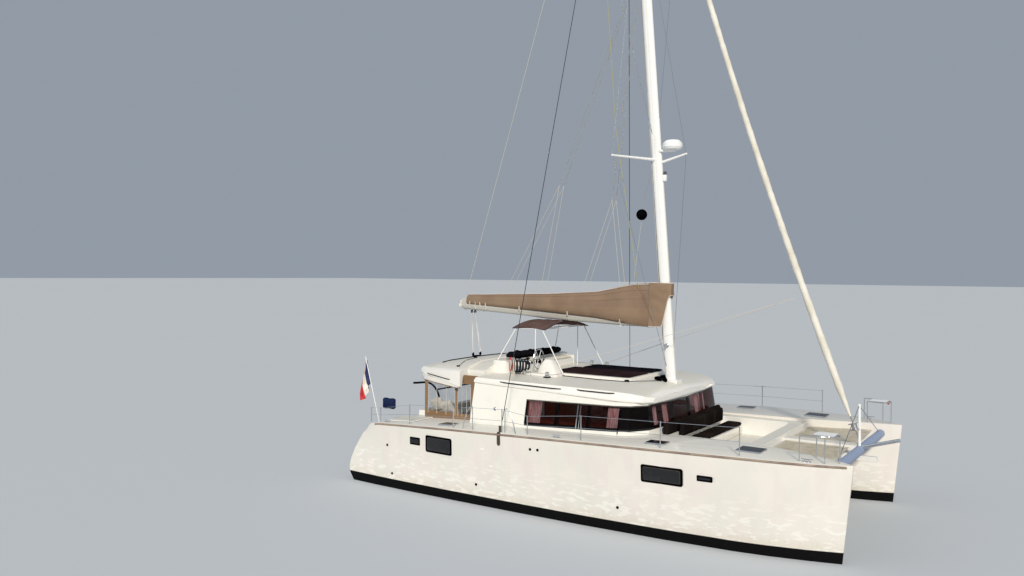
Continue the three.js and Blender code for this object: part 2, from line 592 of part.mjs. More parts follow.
function saloonBulkhead() {
  const { x, thick, half, side, sill, mullion } = BULKHEAD;
  const [x0, x1] = [x - 100, x + 100];
  const room = houseInside(GAP).intersect(underSeam(GAP));
  const below = box(x0, x1, -TUNNEL + 1, TUNNEL - 1, FLOOR, deckAt(0));
  const sheet = box(x, x + thick, -half, half, FLOOR + GAP, FAR).intersect(room.add(below));
  return clear(sheet, [hullPort, hullStarboard])
    .subtract(box(x0, x1, DOOR.y0, DOOR.y1, 0, DOOR.top))
    .subtract(box(x0, x1, -side, DOOR.y0 - mullion, sill, DOOR.top))
    .subtract(box(x0, x1, DOOR.y1 + mullion, side, sill, DOOR.top));
}

function slidingDoor() {
  const { y0, y1, top, thick, frame, sill, lift } = DOOR;
  const x1 = BULKHEAD.x - RUN;
  const leaf = box(x1 - thick, x1, y0 - frame, y1 + frame, FLOOR + lift, top + frame);
  return leaf.subtract(box(-FAR, 0, y0 + frame, y1 - frame, FLOOR + sill, top - frame));
}

function coachroof() {
  const rings = ROOF_STATIONS.map(({ x, half, crown }) => {
    const seam = seamAt(x) + GAP;
    const side = [[half - 40, seam], [half, seam + 30], [half, seam + 75], [half - 90, crown - 80],
      [half * 0.6, crown - 20]];
    return twoSided(x, side, [[x, 0, crown]]);
  });
  return loft(rings, [1, 2]);
}

const roof = coachroof();

function cockpitHardtop() {
  const rings = HARDTOP_STATIONS.map(({ x, half, top, edge, under, fascia }) => {
    const side = [[half - 150, under], [half - 90, fascia], [half, fascia + 20], [half, edge - 30],
      [half - 110, edge + 25], [half * 0.6, top - 20]];
    return [[x, 0, under], ...twoSided(x, side, [[x, 0, top]])];
  });
  const last = HARDTOP_STATIONS.at(-1);
  const { x1, half, overlap } = HARDTOP_NECK;
  const neckSide = [[half, last.under + 10], [half, last.edge], [half * 0.7, last.top - 40]];
  const neck = loft([last.x - overlap, x1].map((x) => twoSided(x, neckSide)), [1, 2]);
  const { x, b, z0, z1, radius } = HARDTOP_POST;
  const posts = [-1, 1].map((side) => rod([x, side * b, z0], [x, side * b, z1], radius));
  return clear(join([loft(rings, [1, 2]), neck, ...posts]), [hullPort, hullStarboard, bridge]);
}

const hardtop = cockpitHardtop();

// Flying bridge

function flybridgeMoulding() {
  const lounge = padOf(LOUNGE, FLYBRIDGE_ROOT, LOUNGE.top);
  const coaming = evenPad(COAMING, FLYBRIDGE_ROOT, COAMING.top)
    .add(evenPad(COAMING_ARMS, FLYBRIDGE_ROOT, COAMING_ARMS.top))
    .subtract(evenPad(COAMING_INSIDE, COAMING_INSIDE.floor, FAR));
  const sole = evenPad(FLYBRIDGE_SOLE, FLYBRIDGE_ROOT, FLYBRIDGE_SOLE.top);
  const bench = evenPad(FLYBRIDGE_SEAT, FLYBRIDGE_ROOT, FLYBRIDGE_SEAT.top);
  return clear(join([lounge, coaming, sole, bench]), [roof, hardtop]);
}

const flybridge = flybridgeMoulding();

function helmConsole() {
  const ring = ({ z, x0, x1, b0, b1 }) => [[x0, -b1, z], [x1, -b1, z], [x1, -b0, z], [x0, -b0, z]];
  return clear(loft(CONSOLE.map(ring), [0, 1]), [roof, flybridge]);
}

const helm = helmConsole();

function steeringWheel() {
  const { x, y, z, radius, rim, hub, spoke } = WHEEL;
  const hoop = solidOf(new THREE.TorusGeometry(radius, rim, 6, 24)).rotate([0, 90, 0]);
  const across = rod([0, -radius, 0], [0, radius, 0], spoke, 6);
  const spokes = [0, 60, 120].map((turn) => across.rotate([turn, 0, 0]));
  const boss = rod([-30, 0, 0], [30, 0, 0], hub, 12);
  return join([hoop, boss, ...spokes]).translate([x, y, z]);
}

function rolledCover() {
  const { x0, y0, x1, y1, z, radius } = ROLLED_COVER;
  return clear(rod([x0, y0, z], [x1, y1, z], radius, 10), [flybridge]);
}

const flybridgeSunpad = () => padOf(SUNPAD, LOUNGE.top + GAP, SUNPAD.top);

function biminiCanopy() {
  const { half, crown, thick, shares } = CANOPY;
  const arch = ({ x, z }) => {
    const over = shares.map((s) => [x, s * half, z + crown * (1 - s * s)]);
    const under = [...over].reverse().map(([a, y, height]) => [a, y, height - thick]);
    return [...over, ...under];
  };
  return loft(CANOPY_ARCHES.map(arch), [1, 2]);
}

const canopy = biminiCanopy();

function biminiFrame() {
  const { b, bar, runner, leg } = BIMINI;
  const parts = BIMINI_BARS.map(({ x, z }) => rod([x, -b, z], [x, b, z], bar));
  for (const side of [-1, 1]) {
    const [aft, middle, fore] = BIMINI_BARS.map(({ x, z }) => [x, side * b, z]);
    parts.push(rod(aft, middle, runner, 6), rod(middle, fore, runner, 6));
    for (const row of BIMINI_LEGS) {
      const head = BIMINI_BARS[row.bar];
      parts.push(rod([row.footX, side * row.footB, row.footZ], [head.x, side * b, head.z], leg));
    }
  }
  return clear(clear(join(parts), [canopy], [0, 0, -GAP]), [flybridge, helm]);
}

// Cockpit

function cockpitEnclosure() {
  const { x0, x1, b, thick, foot, top, sill } = ENCLOSURE;
  const panes = ENCLOSURE_PANES.map((row) => box(row.x0, row.x1, b - 40, b + 40, sill, row.top));
  const wall = box(x0, x1, b - thick, b, foot, top).subtract(join(panes));
  return clear(clear(wall, [hardtop], [0, 0, -SEAL], [-SEAL, 0, 0]), [hullPort, bridge], [0, 0, SEAL]);
}

function cockpitBench() {
  return join(COCKPIT_SEATS.map((row) => padOf({ ...row, ...SEAT }, FLOOR + GAP, SEAT.top)));
}

// A table top on one round leg
function pedestalTable(size, legX, legY) {
  const leg = rod([legX, legY, FLOOR + GAP], [legX, legY, size.z0 + 10], size.leg, 12);
  return padOf(size, size.z0, size.z1).add(leg);
}

const cockpitTable = () => pedestalTable(COCKPIT_TABLE, -3900, -350);
const saloonTable = () => pedestalTable(SALOON_TABLE, 0, 920);

// Saloon

function saloonSofa() {
  const base = padOf(SOFA, FLOOR + GAP, SOFA.seat);
  const back = padOf({ ...SOFA, y0: SOFA.backY }, FLOOR + GAP, SOFA.back);
  return base.subtract(padOf(SOFA_FOOT, 0, FAR)).add(back);
}

const galleyCounter = () => padOf(COUNTER, FLOOR + GAP, COUNTER.top);

// Foredeck

function forwardSeat() {
  const { deep, top, round, backDeep, backHalf, backTop } = FORWARD_SEAT;
  const [x0, half] = [WELL.x0 + 5, WELL.half - 8];
  const seat = evenPad({ x0, x1: WELL.x0 + deep, half, round }, WELL.floor + GAP, top);
  const back = evenPad({ x0, x1: WELL.x0 + backDeep, half: backHalf, round: 60 }, top - 60, backTop);
  return seat.add(back);
}

function crossbeam() {
  const x = CROSSBEAM_X;
  const main = rod([x, -BEAM.half, BEAM.z], [x, BEAM.half, BEAM.z], BEAM.radius, 12);
  const headX = x - STRIKER.rake;
  const post = rod([x, 0, BEAM.z], [headX, 0, STRIKER.top], STRIKER.radius);
  const head = [headX, 0, STRIKER.top - 40];
  const stay = (side) => rod([x, side * STRIKER.stayB, BEAM.z + 60], head, STRIKER.stay, 6);
  return clear(join([main, post, stay(-1), stay(1)]), [hullPort, hullStarboard], [0, 0, 0]);
}

const beam = crossbeam();

function bowsprit() {
  const { x0, z0, x1, z1, radius } = BOWSPRIT;
  return clear(rod([x0, 0, z0], [x1, 0, z1], radius, 10), [beam], [GAP, 0, 0]);
}

function bowWalkway() {
  const { x0, x1, half, z0, z1, hangerX, hangerZ } = ANCHOR_ROLLER;
  const plank = evenPad({ ...WALKWAY, x0: WALKWAY.x0 + GAP }, WALKWAY.z0, WALKWAY.z1);
  const roller = box(x0, x1, -half, half, z0, z1).add(box(x0 + 20, hangerX, -half, half, z1 - 60, hangerZ));
  return clear(plank.add(roller), [beam], [-GAP, 0, 0], [0, 0, -GAP], [0, 0, GAP]);
}

function trampoline() {
  const outer = (x) => between(HULL_STATIONS, x, 'inner') - NET.edge;
  const ring = (z) => [[NET.x0, NET.inner, z], [NET.x1, NET.inner, z], [NET.x1, outer(NET.x1) - 20, z],
    [NET.bend, outer(NET.bend), z], [NET.x0, outer(NET.x0), z]];
  return loft([ring(NET.z), ring(NET.z + NET.thick)], [0, 1]);
}

// Rig

function ovalRing(z, chord, width) {
  return [...Array(MAST.sides).keys()].map((i) => {
    const turn = (2 * Math.PI * i) / MAST.sides;
    return [mastAt(z) + (chord / 2) * Math.cos(turn), (width / 2) * Math.sin(turn), z];
  });
}

function mastColumn() {
  const { chord, width, taperFrom, headChord, headWidth } = MAST;
  const foot = MAST_FOOT.z - MAST_STEP.below;
  const column = loft([ovalRing(foot, chord, width), ovalRing(taperFrom, chord, width),
    ovalRing(MASTHEAD, headChord, headWidth)], [0, 1]);
  const { x, y, above } = MAST_STEP;
  const step = box(mastAt(foot) - x, mastAt(foot) + x, -y, y, foot, MAST_FOOT.z + above);
  const { half, high, reach, z } = GOOSENECK;
  const lug = box(GOOSENECK.x - reach, mastAt(z), -half, half, z - high, z + high);
  return clear(join([column, step, lug]), [roof]);
}

const column = mastColumn();

function spreaders() {
  const blades = [];
  for (const row of SPREADERS) {
    for (const side of [-1, 1]) {
      const tip = [mastAt(row.z) - row.aft, side * row.half, row.z + row.rise];
      blades.push(rod([mastAt(row.z), 0, row.z], tip, SPREADER.root, 8, SPREADER.tip));
    }
  }
  for (const { z, ahead, rise } of FORWARD_STRUTS) {
    const tip = [mastAt(z) + ahead, 0, z + rise];
    blades.push(rod([mastAt(z), 0, z], tip, SPREADER.root, 8, SPREADER.tip));
  }
  return blades;
}

function radar() {
  const { x, z, shelfX, shelfZ, shelfThick, shelfHalf, sides } = RADAR;
  const outline = RADAR_DOME.map((row) => new THREE.Vector2(row.radius, row.z));
  const dome = new THREE.LatheGeometry(outline, sides);
  dome.rotateX(Math.PI / 2);
  dome.translate(x, 0, z);
  const shelf = box(mastAt(shelfZ) + 100, shelfX, -shelfHalf, shelfHalf, shelfZ, shelfZ + shelfThick);
  return clear(solidOf(dome).add(shelf), [column], [GAP, 0, 0]);
}

function boom() {
  const [high, wide, cut] = [BOOM.high / 2, BOOM.wide / 2, BOOM.chamfer];
  const half = [[wide - cut, -high], [wide, -high + cut], [wide, high - cut], [wide - cut, high]];
  const ring = (x, z) => twoSided(x, half.map(([y, up]) => [y, z + up]));
  return clear(loft([ring(BOOM.x0, BOOM.z0), ring(BOOM.x1, BOOM.z1)], [1, 2]), [column], [-RUN, 0, 0]);
}

const boomSolid = boom();

function sailBag() {
  const rings = BAG_STATIONS.map(({ x, low, top, half }) => {
    const side = BAG_SECTION.map((row) => [half * row.out, low + (top - low) * row.up]);
    return twoSided(x, side);
  });
  return clear(loft(rings, [1, 2]), [boomSolid], [0, 0, GAP], [0, 0, -GAP], [0, GAP, 0], [0, -GAP, 0]);
}

function furledGenoa() {
  const { tackX, tackZ, headZ, foot, head, houndsAhead, stay, stayFoot, drumZ0, drumZ1 } = GENOA;
  const slope = (mastAt(HOUNDS) + houndsAhead - tackX) / (HOUNDS - tackZ);
  const at = (z) => {
    const share = (z - tackZ) / (HOUNDS - tackZ);
    return [tackX + slope * (z - tackZ) - 4 * GENOA.sag * share * (1 - share), 0, z];
  };
  const parts = [rod(at(drumZ0), at(drumZ1), GENOA.drum, 14), rod(at(stayFoot), at(tackZ), stay, 6)];
  for (let part = 0; part < GENOA.lengths; part += 1) {
    const [from, to] = [part / GENOA.lengths, (part + 1) / GENOA.lengths];
    const [low, high] = [from, to].map((share) => at(tackZ + (headZ - tackZ) * share));
    const [thick, thin] = [from, to].map((share) => foot + (head - foot) * share);
    parts.push(rod(low, high, thick, 12, thin));
  }
  parts.push(rod(at(headZ - 100), at(HOUNDS), stay, 6));
  return clear(clear(join(parts), [column], [GAP, 0, 0]), [beam], [0, 0, GAP], [-GAP, 0, 0]);
}

function shroud() {
  const { x, b, z, half, thick, below, above } = CHAINPLATE;
  const wire = rod([x, b, z], [mastAt(HOUNDS) - 40, 70, HOUNDS], CHAINPLATE.wire, 6);
  const plate = box(x - half, x + half, b - thick, b + thick, z - below, z + above);
  return clear(clear(wire.add(plate), [hullPort]), [column], [0, GAP, 0]);
}

// Rails

function lifelines() {
  const { inboard, atZ, post, wire, shares, bury } = LIFELINE;
  const at = ({ x, high }, share) => [x, sideAt(x, atZ) - inboard, deckAt(x) + high * share - bury];
  const parts = POSTS.map((row) => rod(at(row, 0), at(row, 1), post, 6));
  for (let i = 0; i + 1 < POSTS.length; i += 1) {
    for (const share of shares) parts.push(rod(at(POSTS[i], share), at(POSTS[i + 1], share), wire, 5));
  }
  return clear(join(parts), [hullPort]);
}

function pulpit() {
  const high = deckAt(PULPIT.deckX) + PULPIT.high;
  const low = deckAt(PULPIT.deckX) - PULPIT.bury;
  const rail = tube(PULPIT_ROUTE.map(({ x, b }) => [x, b, high]), PULPIT.rail, 24, 6);
  const legs = PULPIT_LEGS.map((i) => {
    const { x, b } = PULPIT_ROUTE[i];
    return rod([x, b, low], [x, b, high], PULPIT.leg, 6);
  });
  const { x0, x1, b0, b1, half, round } = PULPIT_SEAT;
  const seat = pad(x0, x1, b0, b1, high - half, high + half, round);
  return clear(join([rail, seat, ...legs]), [hullPort]);
}

function davits() {
  const { b, radius, barX, barZ, bar } = DAVITS;
  const arms = [-1, 1].map((side) => tube(DAVIT_ROUTE.map(({ x, z }) => [x, side * b, z]), radius, 16));
  return clear(join([...arms, rod([barX, -b, barZ], [barX, b, barZ], bar)]), [bridge]);
}

const flagstaff = () => clear(rod(FLAGSTAFF.foot, FLAGSTAFF.head, FLAGSTAFF.radius), [hullStarboard]);

// Assembly

const boat = new THREE.Group();
boat.name = 'sailing_catamaran';

function place(name, solid, finish) {
  const [color, roughness, metalness] = FINISH[finish];
  const material = new THREE.MeshStandardMaterial({ color, roughness, metalness });
  const mesh = new THREE.Mesh(geometryOf(solid), material);
  mesh.name = name;
  boat.add(mesh);
}

function placePair(name, solid, finish) {
  place(`${name}_port`, solid, finish);
  place(`${name}_starboard`, mirrored(solid), finish);
}

placePair('hull', hullPort, 'gelcoat');
placePair('keel', keel(), 'boot');
placePair('saildrive', saildrive(), 'boot');
placePair('propeller', propeller(), 'bronze');
placePair('rudder', rudder(), 'boot');
placePair('engine', engine(), 'engine');
placePair('engine_hatch', engineLid(), 'deck');
for (const row of HATCHES) placePair(`${row.name}_hatch`, hatchLid(row), 'glass');
place('bridge_deck', bridge, 'deck');
place('saloon_walls', saloonWalls(), 'gelcoat');
place('saloon_glass', saloonGlass(), 'glass');
place('saloon_bulkhead', saloonBulkhead(), 'gelcoat');
place('sliding_door', slidingDoor(), 'metal');
place('coachroof', roof, 'deck');
place('cockpit_hardtop', hardtop, 'gelcoat');
place('flybridge_moulding', flybridge, 'gelcoat');
place('helm_console', helm, 'gelcoat');
place('steering_wheel', steeringWheel(), 'metal');
place('rolled_cover', rolledCover(), 'dark');
place('flybridge_sunpad', flybridgeSunpad(), 'dark');
place('bimini_canopy', canopy, 'brown');
place('bimini_frame', biminiFrame(), 'metal');
placePair('cockpit_enclosure', cockpitEnclosure(), 'tan');
place('cockpit_bench', cockpitBench(), 'cushion');
place('cockpit_table', cockpitTable(), 'wood');
place('saloon_sofa', saloonSofa(), 'brown');
place('saloon_table', saloonTable(), 'wood');
place('galley_counter', galleyCounter(), 'wood');
place('forward_seat', forwardSeat(), 'brown');
place('crossbeam', beam, 'blueGrey');
place('bowsprit', bowsprit(), 'metal');
place('bow_walkway', bowWalkway(), 'deck');
placePair('trampoline', trampoline(), 'net');
place('mast', join([column, ...spreaders()]), 'painted');
place('radar', radar(), 'painted');
place('boom', boomSolid, 'painted');
place('sail_bag', sailBag(), 'bag');
place('furled_genoa', furledGenoa(), 'sail');
placePair('shroud', shroud(), 'metal');
placePair('lifelines', lifelines(), 'metal');
placePair('pulpit', pulpit(), 'metal');
place('davits', davits(), 'metal');
place('flagstaff', flagstaff(), 'painted');

export default boat;
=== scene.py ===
"""Looks of a sailing catamaran at anchor: skins, fittings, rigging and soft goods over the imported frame."""
from __future__ import annotations

import json
import logging
import math
from dataclasses import dataclass, field
from enum import Enum
from typing import Callable, Sequence

import bmesh
import bpy
from mathutils import Matrix, Vector
from mathutils.bvhtree import BVHTree

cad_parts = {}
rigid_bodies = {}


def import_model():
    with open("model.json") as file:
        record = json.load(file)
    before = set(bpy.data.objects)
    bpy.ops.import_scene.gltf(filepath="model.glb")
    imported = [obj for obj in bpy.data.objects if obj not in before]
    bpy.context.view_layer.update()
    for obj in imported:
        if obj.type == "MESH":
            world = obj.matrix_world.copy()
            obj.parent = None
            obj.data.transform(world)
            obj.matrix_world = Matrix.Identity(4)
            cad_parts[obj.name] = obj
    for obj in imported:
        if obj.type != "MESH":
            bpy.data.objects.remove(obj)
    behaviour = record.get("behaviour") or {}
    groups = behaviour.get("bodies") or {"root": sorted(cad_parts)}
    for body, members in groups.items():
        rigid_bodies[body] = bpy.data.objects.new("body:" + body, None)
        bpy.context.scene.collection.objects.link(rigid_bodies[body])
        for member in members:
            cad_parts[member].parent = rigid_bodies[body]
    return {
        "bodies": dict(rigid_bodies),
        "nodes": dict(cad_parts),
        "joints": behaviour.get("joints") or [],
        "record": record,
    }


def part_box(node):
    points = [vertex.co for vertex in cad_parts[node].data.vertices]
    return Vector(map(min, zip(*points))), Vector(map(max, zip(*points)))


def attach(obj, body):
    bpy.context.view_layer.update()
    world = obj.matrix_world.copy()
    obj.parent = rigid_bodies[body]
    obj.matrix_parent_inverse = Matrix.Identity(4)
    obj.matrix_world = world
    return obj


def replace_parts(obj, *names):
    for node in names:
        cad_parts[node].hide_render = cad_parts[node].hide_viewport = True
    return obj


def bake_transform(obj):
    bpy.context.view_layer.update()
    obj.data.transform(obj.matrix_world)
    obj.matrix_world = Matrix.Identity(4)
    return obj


LOG = logging.getLogger("catamaran")
Point = Sequence[float]
Colour = tuple[float, float, float]
PLATFORM = "platform"
SIDES = {"port": 1.0, "starboard": -1.0}
HULL_CENTRE = 2.985


def linear(code: str) -> Colour:
    """Turns a web colour into linear red, green and blue.

    Args:
        code: six hexadecimal digits.

    Returns:
        The three shares of light.
    """
    parts = [int(code[i:i + 2], 16) / 255 for i in (0, 2, 4)]
    red, green, blue = [p / 12.92 if p <= 0.04045 else ((p + 0.055) / 1.055) ** 2.4 for p in parts]
    return red, green, blue


def angles(steps: int, closed: bool = False) -> list[float]:
    """Even angles round a circle, with a full turn at the end where it is closed."""
    return [math.tau * k / steps for k in range(steps + closed)]


def round_edges(part: bmesh.types.BMesh, radius: float, segments: int = 2) -> None:
    """Rounds every edge of a part.

    Args:
        part: the part.
        radius: the rounding in metres.
        segments: steps round each edge.
    """
    bmesh.ops.bevel(part, geom=part.edges[:], offset=radius, offset_type="OFFSET", segments=segments,
                    profile=0.5, affect="EDGES", material=-1, clamp_overlap=True)


class Signal:
    """An output socket that takes part in Python arithmetic."""

    def __init__(self, tree: bpy.types.NodeTree, socket: bpy.types.NodeSocket) -> None:
        """Keeps the tree and the socket."""
        self.tree = tree
        self.socket = socket

    def math(self, operation: str, *values: Signal | float) -> Signal:
        """Adds one Math node.

        Args:
            operation: the node's operation.
            values: what its sockets take, in order.

        Returns:
            The node's output.
        """
        node = self.tree.nodes.new("ShaderNodeMath")
        node.operation = operation
        for slot, value in zip(node.inputs, values):
            if isinstance(value, Signal):
                self.tree.links.new(value.socket, slot)
            else:
                slot.default_value = value
        return Signal(self.tree, node.outputs[0])

    def __add__(self, other: Signal | float) -> Signal:
        """Adds."""
        return self.math("ADD", self, other)

    __radd__ = __add__

    def __sub__(self, other: Signal | float) -> Signal:
        """Subtracts."""
        return self.math("SUBTRACT", self, other)

    def __rsub__(self, other: float) -> Signal:
        """Subtracts this from a number."""
        return self.math("SUBTRACT", other, self)

    def __mul__(self, other: Signal | float) -> Signal:
        """Multiplies."""
        return self.math("MULTIPLY", self, other)

    __rmul__ = __mul__

    def wave(self) -> Signal:
        """Sine, moved to lie between 0 and 1."""
        return self.math("SINE", self) * 0.5 + 0.5

    def over(self, edge: float) -> Signal:
        """1 above the edge, else 0."""
        return self.math("GREATER_THAN", self, edge)

    def rise(self, low: float, high: float) -> Signal:
        """Goes smoothly from 0 at low to 1 at high.

        Args:
            low: where it leaves 0.
            high: where it reaches 1.

        Returns:
            The smooth share.
        """
        share = self.math("MULTIPLY", self - low, 1 / (high - low))
        clamped = share.math("MAXIMUM", share.math("MINIMUM", share, 1.0), 0.0)
        return clamped * clamped * (3.0 - 2.0 * clamped)


class Look:
    """A material's node tree while it is being made."""

    def __init__(self, name: str) -> None:
        """Starts an empty material.

        Args:
            name: the material's name.
        """
        self.material = bpy.data.materials.new(name)
        self.material.use_nodes = True
        self.tree = self.material.node_tree
        self.tree.nodes.clear()
        self.place = self.node("ShaderNodeTexCoord", output="Object")
        axes = self.tree.nodes.new("ShaderNodeSeparateXYZ")
        self.tree.links.new(self.place.socket, axes.inputs[0])
        self.x, self.y, self.z = (Signal(self.tree, out) for out in axes.outputs)

    def node(self, kind: str, settings: dict | None = None, inputs: dict | None = None,
             output: str | int = 0) -> Signal:
        """Adds any node.

        Args:
            kind: the node's type.
            settings: its own settings, put in before its sockets.
            inputs: values or signals, by socket name or number.
            output: the socket that is handed back.

        Returns:
            The output.
        """
        node = self.tree.nodes.new(kind)
        for key, value in (settings or {}).items():
            setattr(node, key, value)
        for key, value in (inputs or {}).items():
            if isinstance(value, Signal):
                self.tree.links.new(value.socket, node.inputs[key])
            else:
                node.inputs[key].default_value = value
        return Signal(self.tree, node.outputs[output] if node.outputs else None)

    def noise(self, scale: float, detail: float = 3.0, stretch: Point = (1, 1, 1)) -> Signal:
        """Soft noise over the piece.

        Args:
            scale: features for each metre.
            detail: how many finer layers.
            stretch: how much faster it runs along each axis.

        Returns:
            A value round 0.5.
        """
        place = self.node("ShaderNodeMapping", None, {"Vector": self.place, "Scale": tuple(stretch)})
        return self.node("ShaderNodeTexNoise", None, {"Vector": place, "Scale": scale, "Detail": detail})

    def cells(self, scale: float) -> Signal:
        """Distance to the nearest point of a scattered set."""
        return self.node("ShaderNodeTexVoronoi", None, {"Vector": self.place, "Scale": scale})

    def mix(self, share: Signal | float, low: Signal | Colour, high: Signal | Colour) -> Signal:
        """Blends two colours.

        Args:
            share: 0 for the first, 1 for the second.
            low: the first colour.
            high: the second colour.

        Returns:
            The blended colour.
        """
        ends = [end if isinstance(end, Signal) else (*end, 1.0) for end in (low, high)]
        inputs = {0: share, 6: ends[0], 7: ends[1]}
        return self.node("ShaderNodeMix", {"data_type": "RGBA"}, inputs, 2)

    def upward(self) -> Signal:
        """How far the surface faces up, from -1 to 1.

        Returns:
            The upright part of the surface's direction.
        """
        normal = self.node("ShaderNodeNewGeometry", output="Normal")
        axes = self.node("ShaderNodeSeparateXYZ", None, {0: normal}, 2)
        return axes

    def done(self, inputs: dict, height: Signal | None = None, strength: float = 0.3,
             depth: float = 0.002) -> bpy.types.Material:
        """Closes the tree with one shader.

        Args:
            inputs: the shader's sockets.
            height: the surface's relief.
            strength: how much of the relief shows.
            depth: the relief's depth in metres.

        Returns:
            The material.
        """
        if height is not None:
            inputs["Normal"] = self.node("ShaderNodeBump", None,
                                         {"Height": height, "Strength": strength, "Distance": depth})
        shader = self.node("ShaderNodeBsdfPrincipled", None, inputs)
        self.node("ShaderNodeOutputMaterial", None, {"Surface": shader})
        return self.material


class Pattern(Enum):
    """What a finish shows close up."""

    MOULDED = "moulded"
    WATERLINE = "waterline"
    DECK = "deck"
    WEAVE = "weave"
    BRUSHED = "brushed"
    WEATHERED = "weathered"
    GRAIN = "grain"
    LAID = "laid"
    KNOTTED = "knotted"
    CLEAR = "clear"
    FOLDS = "folds"
    GLAZED = "glazed"


@dataclass(frozen=True)
class Finish:
    """One finish, turned into a material when it is first used."""

    name: str
    tone: str
    pattern: Pattern = Pattern.MOULDED
    fade: str = "bcbcbc"
    rough: float = 0.4
    metal: float = 0.0
    coat: float = 0.0
    alpha: float = 1.0
    slot: str = ""
    shine: float = 0.5
    # Emission strength: painted light given off by a part that is no lamp.
    painted_glow: float = 0.0

    @property
    def colour(self) -> Colour:
        """The main colour in linear light."""
        return linear(self.tone)

    @property
    def second(self) -> Colour:
        """The colour that it is clouded, stained or crossed with; in folded cloth, the painted shade of its
        folds.
        """
        return linear(self.fade)

    def material(self) -> bpy.types.Material:
        """Makes the material once and keeps it.

        Returns:
            The material.
        """
        name = self.name + "_look"
        made = bpy.data.materials.get(name)
        return made or getattr(self, "_" + self.pattern.value)(Look(name))

    def _sockets(self, colour: Signal, rough: Signal) -> dict:
        """The sockets that every pattern fills.

        Args:
            colour: what feeds the colour.
            rough: what feeds the roughness.

        Returns:
            Their values or signals, by name.
        """
        # Emission Strength carries the finish's painted light, which only the saloon's wood and the curtains
        # have.
        return {"Base Color": colour, "Roughness": rough, "Metallic": self.metal, "Coat Weight": self.coat,
                "Alpha": self.alpha, "Specular IOR Level": self.shine, "Emission Color": colour,
                "Emission Strength": self.painted_glow}

    def _shade(self, share: float) -> Colour:
        """The finish's colour, made lighter or darker."""
        red, green, blue = (min(1.0, part * share) for part in self.colour)
        return red, green, blue

    def _moulded(self, look: Look) -> bpy.types.Material:
        """Gelcoat, plastic and smooth paint: cloudy dirt, fine scratches and a faint ripple.

        Args:
            look: the tree under construction.

        Returns:
            The material.
        """
        cloud = look.noise(1.3, 4.0)
        streak = look.noise(7.0, 3.0, (3.0, 3.0, 0.35))
        grime = (cloud * 0.6 + streak * 0.4).rise(0.5, 0.78)
        colour = look.mix(grime * 0.5, self.colour, self._shade(0.82))
        rough = look.noise(60.0, 2.0) * 0.12 + grime * 0.15 + (self.rough - 0.06)
        return look.done(self._sockets(colour, rough), look.noise(2.2, 1.0), 0.05, 0.02)

    def _waterline(self, look: Look) -> bpy.types.Material:
        """Topsides: boot band, water stains above it, painted light from the water's ripples, and non-slip
        where it faces up.

        Args:
            look: the tree under construction.

        Returns:
            The material.
        """
        edge = look.noise(1.1, 2.0) * 0.01
        above = (look.z + edge).rise(0.252, 0.258)
        stain = (1.0 - (look.z + look.noise(9.0, 3.0, (2.5, 2.5, 0.4)) * 0.3).rise(0.4, 0.7)) * 0.3
        drip = look.noise(16.0, 2.0, (4.0, 4.0, 0.12)).rise(0.6, 0.8) * 0.12
        cloud = look.noise(1.5, 5.0, (1.0, 1.0, 0.7)).rise(0.38, 0.66) * 0.8
        side = look.mix(cloud, self.colour, linear("e2e0d6"))
        side = look.mix(look.noise(2.3, 4.0, (1.4, 1.4, 0.5)).rise(0.46, 0.7) * 0.5, side, linear("e3d9d3"))
        side = look.mix(stain, side, linear("cbc2ab"))
        side = look.mix(drip, side, linear("b9ad95"))
        # Painted light: pale wavering patches low on the side, the light thrown up by the water's ripples.
        ripple = look.noise(3.6, 3.0, (1.0, 1.0, 3.2)).rise(0.53, 0.6) * (1.0 - look.z.rise(0.6, 1.5)) * 0.5
        side = look.mix(ripple, side, (0.94, 0.92, 0.86))
        top = look.upward().rise(0.75, 0.9) * look.z.over(1.0)
        deck = look.mix(look.noise(14.0, 4.0) * 0.4, linear("e3e0d8"), linear("c9c4b8"))
        colour = look.mix(above, self.second, look.mix(top, side, deck))
        rough = self.rough + top * 0.35 + (1.0 - above) * 0.3 + look.noise(40.0, 2.0) * 0.08
        tread = look.cells(190.0) * top + look.noise(1.6, 1.0) * (1.0 - top)
        sockets = self._sockets(colour, rough)
        sockets["Coat Weight"] = above * self.coat
        return look.done(sockets, tread, 0.12, 0.006)

    def _glazed(self, look: Look) -> bpy.types.Material:
        """Gelcoat walls with the black border that the bonded windows are glued to.

        Args:
            look: the tree under construction.

        Returns:
            The material.
        """
        band = (look.z - look.x * 0.043).over(2.122) * (1.0 - (look.z - look.x * 0.022).over(2.748))
        band = band * look.x.over(-1.308)
        grime = look.noise(2.2, 5.0).rise(0.45, 0.75)
        colour = look.mix(band, look.mix(grime * 0.4, self.colour, self._shade(0.86)), self.second)
        return look.done(self._sockets(colour, grime * 0.12 + self.rough), look.noise(2.2, 1.0), 0.05, 0.02)

    def _deck(self, look: Look) -> bpy.types.Material:
        """Moulded deck: smooth on its sides, a fine non-slip tread where it faces up.

        Args:
            look: the tree under construction.

        Returns:
            The material.
        """
        top = look.upward().rise(0.9, 0.97)
        worn = look.noise(3.0, 5.0).rise(0.45, 0.75)
        plain = look.mix(look.noise(5.0, 4.0, (2.0, 2.0, 0.3)).rise(0.55, 0.8) * 0.4, self.colour,
                         self._shade(0.85))
        colour = look.mix(top, plain, look.mix(worn * 0.5, self.second, self._shade(0.86)))
        rough = self.rough + top * 0.3 + worn * 0.08
        return look.done(self._sockets(colour, rough), look.cells(150.0) * top, 0.25, 0.002)

